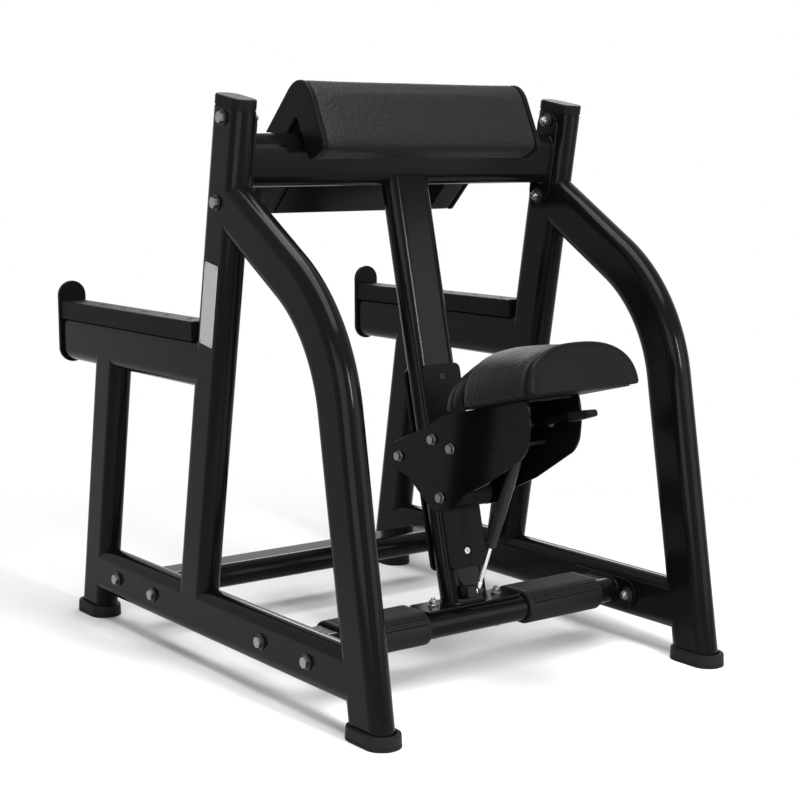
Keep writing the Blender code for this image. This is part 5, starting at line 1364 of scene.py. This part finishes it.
PAD_RIDGE = Vector((-0.1140 + DATUM_Y, 1.1522))
PAD_REAR_SLOPE = radians(44.0)
PAD_FRONT_SLOPE = radians(25.3)
PAD_REAR_LENGTH = 0.358
PAD_FRONT_LENGTH = 0.1725
PAD_THICKNESS = 0.0564
PAD_NOSE_THICKNESS = 0.0600
PAD_VOID_START = 0.0830
PAD_PANEL = 0.0100
PAD_PANEL_LAP = 0.0010
PAD_SWELL_DEPTH = 0.03
PAD_SWELL_END = 0.04
PAD_PLATE_THICKNESS = 0.003
PAD_PLATE_REAR = 0.262
PAD_PLATE_FRONT = 0.058
PAD_PLATE_BEND = 0.010
BRACKET_FRONT = 0.036
BRACKET_REAR = 0.040


def pad_corners():
    """The corners of the pad's side outline by name, each with its radius and steps."""
    rearward = Vector((cos(PAD_REAR_SLOPE), -sin(PAD_REAR_SLOPE)))
    inward = Vector((-sin(PAD_REAR_SLOPE), -cos(PAD_REAR_SLOPE)))
    frontward = Vector((-sin(PAD_FRONT_SLOPE), -cos(PAD_FRONT_SLOPE)))
    front_inward = Vector((cos(PAD_FRONT_SLOPE), -sin(PAD_FRONT_SLOPE)))
    rear_outer = PAD_RIDGE + rearward * PAD_REAR_LENGTH
    nose_outer = PAD_RIDGE + frontward * PAD_FRONT_LENGTH
    return {
        "ridge": (PAD_RIDGE, 0.050, 16),
        "rear_outer": (rear_outer, 0.013, 8),
        "rear_inner": (rear_outer + inward * PAD_THICKNESS, 0.011, 6),
        "void": (PAD_RIDGE + rearward * PAD_VOID_START + inward * PAD_THICKNESS, 0.004, 4),
        "nose_inner": (nose_outer + front_inward * PAD_NOSE_THICKNESS, 0.013, 6),
        "nose_outer": (nose_outer, 0.016, 10),
    }


def pad_outline_corners():
    return [(spot.x, spot.y, radius, steps) for spot, radius, steps in pad_corners().values()]


def pad_depth(point):
    """How deep a point lies under the pad's two outer faces."""
    offset = Vector((point.y, point.z)) - PAD_RIDGE
    rear = -offset.dot(Vector((sin(PAD_REAR_SLOPE), cos(PAD_REAR_SLOPE))))
    front = offset.dot(Vector((cos(PAD_FRONT_SLOPE), -sin(PAD_FRONT_SLOPE))))
    return min(rear, front)


def make_arm_pad():
    """The saddle-shaped pad: a grained body between two plain end panels with rolled rims."""
    half = extent("arm_pad").x / 2
    body_end = half - PAD_PANEL
    piece = settle(
        "arm_pad_cushion_body", prism(pad_outline_corners(), -body_end, body_end, 0.0050, 3), "frame",
        ["arm_pad"], "leather", SIDEWAYS, weighted=False
    )
    inflate(piece, lambda point: min(
        1.0, max(0.0, 1.0 - pad_depth(point) / PAD_SWELL_DEPTH),
        max(0.0, (body_end - abs(point.x)) / PAD_SWELL_END)))
    for side, sign in SIDES:
        inner, outer = sign * (body_end - PAD_PANEL_LAP), sign * half
        panel = prism(pad_outline_corners(), *sorted((inner, outer)))
        round_edges(panel, 0.0070, 5, lies_at(outer))
        round_edges(panel, 0.0026, 2, lies_at(inner))
        piece = settle(
            "arm_pad_" + side + "_panel", panel, "frame", ["arm_pad"], "smooth leather",
            SIDEWAYS
        )
    make_pad_plate()


def make_pad_plate():
    """The bent plate inside the pad's void and the two brackets that carry it."""
    at = pad_corners()
    void = at["void"][0]
    rearward = (at["rear_inner"][0] - void).normalized()
    frontward = (at["nose_inner"][0] - void).normalized()
    half_angle = rearward.angle(frontward) / 2
    downward = (rearward + frontward).normalized() / sin(half_angle)
    outer = void + downward * GAP
    inner = outer + downward * PAD_PLATE_THICKNESS
    peak = inner + downward * GAP
    short = PAD_PLATE_THICKNESS / tan(half_angle)
    half = extent("arm_pad_plate").x / 2
    plate = prism([
        (*(outer + frontward * PAD_PLATE_FRONT), 0, 0), (*outer, PAD_PLATE_BEND, 8),
        (*(outer + rearward * PAD_PLATE_REAR), 0, 0), (*(inner + rearward * (PAD_PLATE_REAR - short)), 0, 0),
        (*inner, PAD_PLATE_BEND - PAD_PLATE_THICKNESS, 8),
        (*(inner + frontward * (PAD_PLATE_FRONT - short)), 0, 0),
    ], -half, half, 0.0005, 1)
    settle("arm_pad_bent_plate", plate, "frame", ["arm_pad_plate"], "coat", SIDEWAYS)
    bar = upright_point(UPPER_BAR_HEIGHT)
    for side, _ in SIDES:
        node = side + "_pad_bracket"
        low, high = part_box(node)
        bracket = prism([
            (*(peak + frontward * BRACKET_FRONT), 0.002, 2), (*peak, 0.007, 6),
            (*(peak + rearward * BRACKET_REAR), 0.002, 2), (bar.y, bar.z, 0, 0),
        ], low.x, high.x, 0.0008, 2)
        settle(node + "_block", bracket, "frame", [node], "coat", SIDEWAYS)


# Release lever

LEVER_AHEAD = 0.285
LEVER_HEIGHT = 0.4510
LEVER_REAR = 0.023
LEVER_FRONT = 0.117
LEVER_DEPTH = 0.014
LEVER_WIDTH = 0.016
LEVER_NUT_AHEAD = 0.043
LEVER_COLLARS = (-0.011, 0.011)
LEVER_GRIP_REAR = 0.103
LEVER_GRIP_FRONT = 0.158
LEVER_GRIP_HALF_WIDTH = 0.012


def make_lever():
    """The pressed strip on its cross rod, its pull nut and the moulded grip."""
    place = on_carriage(LEVER_AHEAD, LEVER_HEIGHT)
    under = LEVER_DEPTH / 2
    bm = prism(
        rectangle(-LEVER_FRONT, LEVER_REAR, -under, under, 0.002, 4), -LEVER_WIDTH / 2, LEVER_WIDTH / 2,
        0.0010, 2
    )
    reach = SIDE_PLATE_INNER_X - GAP
    add(bm, turned([
        (0, -reach), (0.0046, -reach), (0.0050, -reach + 0.0005), (0.0050, reach - 0.0005), (0.0046, reach),
        (0, reach),
    ], 28))
    for collar in LEVER_COLLARS:
        add(bm, turned([
            (0.0052, -0.0025), (0.0078, -0.0025), (0.0082, -0.0020), (0.0082, 0.0020), (0.0078, 0.0025),
            (0.0052, 0.0025),
        ], 28, ring=True), Matrix.Translation((0, 0, collar)))
    settle("release_lever_strip", bm, "lever", ["release_lever"], "coat", place)
    nut = hexagon(0.010, 0, 0.0034)
    add(nut, turned([(0, 0.0030), (0.0028, 0.0030), (0.0028, 0.0052), (0.0024, 0.0058), (0, 0.0058)], 20))
    at = place @ Matrix.Translation((-LEVER_NUT_AHEAD, -under, 0)) @ Matrix.Rotation(pi / 2, 4, "X")
    settle("lever_pull_nut", nut, "lever", [], "black oxide", at)

    grip = prism([
        (-LEVER_GRIP_FRONT, -0.0060, 0.0050, 8), (-LEVER_GRIP_REAR, -0.0095, 0.0035, 6),
        (-LEVER_GRIP_REAR, 0.0095, 0.0035, 6), (-LEVER_GRIP_FRONT, 0.0060, 0.0050, 8),
    ], -LEVER_GRIP_HALF_WIDTH, LEVER_GRIP_HALF_WIDTH, 0.0034, 5)
    settle("lever_hand_grip", grip, "lever", ["lever_grip"], "plastic", place)


# Gas spring

CYLINDER_RADIUS = 0.011
CYLINDER_LENGTH = 0.214
CYLINDER_END = 0.009
CYLINDER_BORE = 0.0090
GROOVE_DEPTH = 0.0006
ROD_RADIUS = 0.0045
ROD_LENGTH = 0.120
ROD_EYE_HALF = 0.0077
ROD_FOOT = 0.0063
FITTING_REACH = 0.0110
SPRING_BLOCK = 0.030


def make_gas_spring():
    """The cylinder with its rolled end and collar, the chromed rod, its end fitting and the bracket."""
    rise = SPRING_UPPER[1] - SPRING_LOWER[1]
    ahead = SPRING_UPPER[0] - SPRING_LOWER[0]
    length = sqrt(rise * rise + ahead * ahead)
    foot = Matrix.Translation((0, -SPRING_LOWER[0], SPRING_LOWER[1]))
    spring = POST @ foot @ Matrix.Rotation(atan2(ahead, rise), 4, "X")
    high = length - CYLINDER_END
    low = high - CYLINDER_LENGTH
    wall, groove, bore = CYLINDER_RADIUS, CYLINDER_RADIUS - GROOVE_DEPTH, CYLINDER_BORE
    neck, stem = 0.0052, 0.0060
    cylinder = turned([
        (neck, low + 0.010), (neck, low + 0.0006), (0.0066, low), (0.0084, low + 0.0004),
        (0.0098, low + 0.0022), (wall, low + 0.0042), (wall, low + 0.010), (groove, low + 0.0112),
        (groove, low + 0.0128), (wall, low + 0.014), (wall, high - 0.016), (groove, high - 0.0148),
        (groove, high - 0.0132), (wall, high - 0.012), (wall, high - 0.009), (0.0094, high - 0.0062),
        (0.0062, high - 0.0046), (stem, length - 0.002), (0, length - 0.002), (0, high - 0.020),
        (bore, high - 0.020), (bore, low + 0.012), (neck, low + 0.012),
    ], 40, ring=True)
    eye(cylinder, length, CYLINDER_RADIUS)
    settle(
        "gas_spring_cylinder", cylinder, "spring_cylinder", ["gas_cylinder"], "paint",
        spring
    )

    fitting, waist, end = 0.0056, 0.0050, low + ROD_LENGTH
    rod = turned([
        (0, 0.0), (ROD_RADIUS, 0.0), (ROD_RADIUS, ROD_FOOT), (fitting, ROD_FOOT + 0.0015),
        (fitting, ROD_FOOT + 0.0080), (waist, ROD_FOOT + 0.0088), (waist, ROD_FOOT + 0.0095),
        (fitting, ROD_FOOT + 0.0102), (fitting, ROD_FOOT + 0.0130), (waist, ROD_FOOT + 0.0140),
        (ROD_RADIUS, ROD_FOOT + 0.0142), (ROD_RADIUS, end), (0, end),
    ], 32)
    eye(rod, 0.0, ROD_EYE_HALF)
    piece = settle("gas_spring_rod", rod, "spring_rod", ["gas_rod"], "chrome", spring)
    paint_part(piece, "black oxide", lambda centre: (centre - spring.translation).length < FITTING_REACH)

    near, height = TUBE_ROUND + GAP, SPRING_LOWER[1]
    block = prism(
        rectangle(-near - SPRING_BLOCK, -near, height - 0.0125, height + 0.0125, 0.003, 5), -0.0300, -0.0085,
        0.0012, 2
    )
    add(block, turned([(0, -0.020), (0.0040, -0.020), (0.0040, 0.0095), (0.0034, 0.0105), (0, 0.0105)], 24),
        Matrix.Translation((-SPRING_LOWER[0], height, 0)))
    settle("spring_foot_block", block, "frame", ["spring_bracket"], "coat", CARRIAGE)


def eye(bm, height, half_width):
    """Adds a cross barrel with its hole at the end of the cylinder or of the rod."""
    barrel = washer_ring(0.0045, 0.0090, -half_width, half_width, 0.0008, 32)
    add(bm, barrel, axes((0, 0, height), ACROSS, REARWARD))


# Badge

BADGE_LENGTH = 0.156
BADGE_WIDTH = 0.047
BADGE_THICKNESS = 0.0012
BADGE_RIVET_INSET = 0.005


def make_badge():
    """A bare brushed plate with four domed rivets."""
    x, y = BADGE_LENGTH / 2, BADGE_WIDTH / 2
    centre = middle("badge_plate")
    centre.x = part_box("badge_plate")[1].x
    matrix = axes(centre, -ACROSS, UPRIGHT_AXIS)
    plate = prism(rectangle(-x, x, -y, y, 0.004, 6), 0, BADGE_THICKNESS, 0.0003, 1)
    settle("badge_blank_plate", plate, "frame", ["badge_plate"], "aluminium", matrix)
    x, y = x - BADGE_RIVET_INSET, y - BADGE_RIVET_INSET
    rivets = bmesh.new()
    for spot in ((-x, -y), (-x, y), (x, -y), (x, y)):
        dome = turned([(0, 0), (0.0025, 0), (0.0021, 0.0005), (0.0012, 0.0008), (0, 0.0009)], 16)
        add(rivets, dome, matrix @ Matrix.Translation((*spot, BADGE_THICKNESS)))
    settle("badge_rivets", rivets, "frame", [], "zinc")


# Stage

CAMERA_PLACE = Vector((-1.9832, -2.76527, 0.9931))
CAMERA_YAW = radians(36.19)
CAMERA_PITCH = radians(8.38)
CAMERA_ROLL = radians(0.11)
CAMERA_LENS = 76.55
FLOOR_RADIUS = 14.0
FLOOR_FADE = (0.7, 1.9)
STUDIO_LIGHT = 0.2
# Setting of its power, width and height, place and target of each lamp
LAMPS = {
    "left_lamp": ("key", (1.8, 1.7), (-2.3, -1.5, 0.95), (0, -0.2, 0.6)),
    "right_lamp": ("side", (1.9, 1.7), (1.15, -2.6, 0.95), (0, -0.2, 0.6)),
    "top_lamp": ("top", (1.5, 2.6), (-0.25, -0.85, 2.9), (-0.25, -0.85, 0.5)),
    "rim_lamp": ("rim", (2.4, 0.6), (2.3, 2.9, 2.0), (0, 0, 0.7)),
    "front_strip": ("strip", (0.28, 0.9), (-0.1, -3.2, 1.65), (-0.1, -0.2, 0.9)),
}


def make_camera():
    forward = Vector((
        sin(CAMERA_YAW) * cos(CAMERA_PITCH), cos(CAMERA_YAW) * cos(CAMERA_PITCH), -sin(CAMERA_PITCH)))
    right = Vector((cos(CAMERA_YAW), -sin(CAMERA_YAW), 0))
    down = forward.cross(right)
    rolled_right = right * cos(CAMERA_ROLL) + down * sin(CAMERA_ROLL)
    rolled_down = -right * sin(CAMERA_ROLL) + down * cos(CAMERA_ROLL)
    matrix = Matrix((rolled_right, -rolled_down, -forward)).transposed().to_4x4()
    matrix.translation = CAMERA_PLACE
    data = bpy.data.cameras.new("camera")
    data.sensor_width = 36.0
    data.lens = CAMERA_LENS
    camera = bpy.data.objects.new("camera", data)
    bpy.context.scene.collection.objects.link(camera)
    camera.matrix_world = matrix
    bpy.context.scene.camera = camera


def make_lamp(name, power, size, place, target):
    data = bpy.data.lights.new(name, "AREA")
    data.shape = "RECTANGLE"
    data.size, data.size_y = size
    data.energy = power
    lamp = bpy.data.objects.new(name, data)
    bpy.context.scene.collection.objects.link(lamp)
    direction = Vector(target) - Vector(place)
    lamp.matrix_world = Matrix.Translation(place) @ direction.to_track_quat("-Z", "Y").to_matrix().to_4x4()
    lamp.visible_camera = False


def seen_rays(tree):
    """1 for camera, glossy and transmission rays, and 0 for the rays that light the object."""
    path = add_node(tree, "ShaderNodeLightPath")
    rays = add_node(
        tree, "ShaderNodeMath", {0: path.outputs["Is Camera Ray"], 1: path.outputs["Is Glossy Ray"]},
        operation="MAXIMUM"
    )
    return add_node(
        tree, "ShaderNodeMath", {0: rays.outputs[0], 1: path.outputs["Is Transmission Ray"]},
        operation="MAXIMUM"
    ).outputs[0]


def make_world():
    """White where it is seen or mirrored, and a grey studio where it lights the object."""
    world = bpy.data.worlds.new("studio")
    world.use_nodes = True
    tree = world.node_tree
    tree.nodes.clear()
    grey = add_node(tree, "ShaderNodeBackground", {"Color": linear("#ffffff"), "Strength": STUDIO_LIGHT})
    white = add_node(tree, "ShaderNodeBackground", {"Color": linear("#ffffff"), "Strength": 1.0})
    mix = add_node(tree, "ShaderNodeMixShader", {0: seen_rays(tree), 1: grey.outputs[0], 2: white.outputs[0]})
    add_node(tree, "ShaderNodeOutputWorld", {"Surface": mix.outputs[0]})
    bpy.context.scene.world = world


def make_floor():
    """A seamless pale floor that keeps the bench's soft shadow and fades to the white behind it."""
    bm = bmesh.new()
    bmesh.ops.create_circle(bm, cap_ends=True, segments=96, radius=FLOOR_RADIUS)
    mesh = bpy.data.meshes.new("studio_floor")
    bm.to_mesh(mesh)
    bm.free()
    floor = bpy.data.objects.new("studio_floor", mesh)
    bpy.context.scene.collection.objects.link(floor)
    made, tree, place = new_material("studio_paper")
    mesh.materials.append(made)
    distance = add_node(tree, "ShaderNodeVectorMath", {0: place}, operation="LENGTH")
    near, far = FLOOR_FADE
    fade = add_node(
        tree, "ShaderNodeMapRange", {"Value": distance.outputs["Value"], "From Min": near, "From Max": far},
        interpolation_type="SMOOTHERSTEP"
    )
    both = add_node(tree, "ShaderNodeMath", {0: fade.outputs[0], 1: seen_rays(tree)}, operation="MULTIPLY")
    paper = add_node(tree, "ShaderNodeBsdfDiffuse", {"Color": linear(bpy.context.scene.bench_stage.floor)})
    glow = add_node(tree, "ShaderNodeEmission", {"Color": linear("#ffffff"), "Strength": 1.0})
    mix = add_node(tree, "ShaderNodeMixShader", {0: both.outputs[0], 1: paper.outputs[0], 2: glow.outputs[0]})
    add_node(tree, "ShaderNodeOutputMaterial", {"Surface": mix.outputs[0]})


# Operators

class BenchOperator(bpy.types.Operator):
    """Shared by all operators of the bench."""

    bl_options = {"REGISTER", "UNDO"}


class BENCH_OT_side_frames(BenchOperator):
    """Models the uprights, legs, base rails and rack arms"""

    bl_idname = "bench.side_frames"
    bl_label = "Side Frames"

    def execute(self, context):
        for side, sign in SIDES:
            make_side_frame(side, sign)
        return {"FINISHED"}


class BENCH_OT_boots_and_caps(BenchOperator):
    """Models the rubber boots and the caps of the uprights"""

    bl_idname = "bench.boots_and_caps"
    bl_label = "Boots and Caps"

    def execute(self, context):
        for side, sign in SIDES:
            x = Vector((sign * FRAME_X, 0, 0))
            make_boot(side + "_front_foot", x + FRONT_FOOT)
            make_boot(side + "_rear_foot", x + REAR_FOOT)
            make_cap(side, sign)
        return {"FINISHED"}


class BENCH_OT_rack_arms(BenchOperator):
    """Models the wear strips, their screws and the end plates"""

    bl_idname = "bench.rack_arms"
    bl_label = "Bar Strips"

    def execute(self, context):
        for side, sign in SIDES:
            make_rack_arm(side, sign)
        return {"FINISHED"}


class BENCH_OT_crossbars(BenchOperator):
    """Models the crossbars with their flanges and welds"""

    bl_idname = "bench.crossbars"
    bl_label = "Crossbars"

    def execute(self, context):
        for name in BARS:
            make_crossbar(name)
        return {"FINISHED"}


class BENCH_OT_frame_bolts(BenchOperator):
    """Models the bolts that clamp the crossbars and the seat post"""

    bl_idname = "bench.frame_bolts"
    bl_label = "Frame Bolts"

    def execute(self, context):
        for name in BARS:
            for side, sign in SIDES:
                make_frame_bolts(name, side, sign)
        make_post_base_bolts()
        return {"FINISHED"}


class BENCH_OT_foot_grips(BenchOperator):
    """Models the ribbed rubber sleeves"""

    bl_idname = "bench.foot_grips"
    bl_label = "Foot Grips"

    def execute(self, context):
        for side, _ in SIDES:
            make_foot_grip(side)
        return {"FINISHED"}


class BENCH_OT_seat_post(BenchOperator):
    """Models the seat post and the guide strips on it"""

    bl_idname = "bench.seat_post"
    bl_label = "Seat Post"

    def execute(self, context):
        make_seat_post()
        make_guides()
        return {"FINISHED"}


class BENCH_OT_carriage(BenchOperator):
    """Models the carriage plates, rollers and axles"""

    bl_idname = "bench.carriage"
    bl_label = "Carriage"

    def execute(self, context):
        make_carriage_plates()
        make_rollers_and_axles()
        return {"FINISHED"}


class BENCH_OT_seat(BenchOperator):
    """Pads the seat and models its board"""

    bl_idname = "bench.seat"
    bl_label = "Seat"

    def execute(self, context):
        make_seat()
        return {"FINISHED"}


class BENCH_OT_arm_pad(BenchOperator):
    """Pads the forearm pad and models the plate that carries it"""

    bl_idname = "bench.arm_pad"
    bl_label = "Arm Pad"

    def execute(self, context):
        make_arm_pad()
        return {"FINISHED"}


class BENCH_OT_lever(BenchOperator):
    """Models the release lever and its grip"""

    bl_idname = "bench.lever"
    bl_label = "Release Lever"

    def execute(self, context):
        make_lever()
        return {"FINISHED"}


class BENCH_OT_gas_spring(BenchOperator):
    """Models the gas spring and its lower block"""

    bl_idname = "bench.gas_spring"
    bl_label = "Gas Spring"

    def execute(self, context):
        make_gas_spring()
        return {"FINISHED"}


class BENCH_OT_badge(BenchOperator):
    """Models the bare badge plate"""

    bl_idname = "bench.badge"
    bl_label = "Badge"

    def execute(self, context):
        make_badge()
        return {"FINISHED"}


class BENCH_OT_stage(BenchOperator):
    """Sets up the floor, lamps, world and camera"""

    bl_idname = "bench.stage"
    bl_label = "Stage"

    def execute(self, context):
        stage = context.scene.bench_stage
        context.scene.view_settings.view_transform = "Standard"
        make_camera()
        make_world()
        make_floor()
        for name, (power, *placing) in LAMPS.items():
            make_lamp(name, getattr(stage, power), *placing)
        return {"FINISHED"}


OPERATORS = (
    BENCH_OT_side_frames, BENCH_OT_boots_and_caps, BENCH_OT_rack_arms, BENCH_OT_crossbars,
    BENCH_OT_frame_bolts, BENCH_OT_foot_grips, BENCH_OT_seat_post, BENCH_OT_carriage, BENCH_OT_seat,
    BENCH_OT_arm_pad, BENCH_OT_lever, BENCH_OT_gas_spring, BENCH_OT_badge, BENCH_OT_stage,
)
SETTINGS = {
    "bench_finish": BenchFinishSettings,
    "bench_pads": BenchPadSettings,
    "bench_hardware": BenchHardwareSettings,
    "bench_stage": BenchStageSettings,
}


class BENCH_PT_panel(bpy.types.Panel):
    """Lists the bench's settings and operators"""

    bl_label = "Preacher Bench"
    bl_space_type = "VIEW_3D"
    bl_region_type = "UI"
    bl_category = "Bench"

    def draw(self, context):
        for name, group in SETTINGS.items():
            box = self.layout.box()
            for field in group.__annotations__:
                box.prop(getattr(context.scene, name), field)
        for operator in OPERATORS:
            self.layout.operator(operator.bl_idname)


def register():
    for item in (*SETTINGS.values(), *OPERATORS, BENCH_PT_panel):
        bpy.utils.register_class(item)
    for name, group in SETTINGS.items():
        setattr(bpy.types.Scene, name, bpy.props.PointerProperty(type=group))


def unregister():
    for name in SETTINGS:
        delattr(bpy.types.Scene, name)
    for item in reversed((*SETTINGS.values(), *OPERATORS, BENCH_PT_panel)):
        bpy.utils.unregister_class(item)


def main():
    register()
    bpy.ops.bench.side_frames()
    bpy.ops.bench.boots_and_caps()
    bpy.ops.bench.rack_arms()
    bpy.ops.bench.crossbars()
    bpy.ops.bench.frame_bolts()
    bpy.ops.bench.foot_grips()
    bpy.ops.bench.seat_post()
    bpy.ops.bench.carriage()
    bpy.ops.bench.seat()
    bpy.ops.bench.arm_pad()
    bpy.ops.bench.lever()
    bpy.ops.bench.gas_spring()
    bpy.ops.bench.badge()
    bpy.ops.bench.stage()


if __name__ == "__main__":
    main()
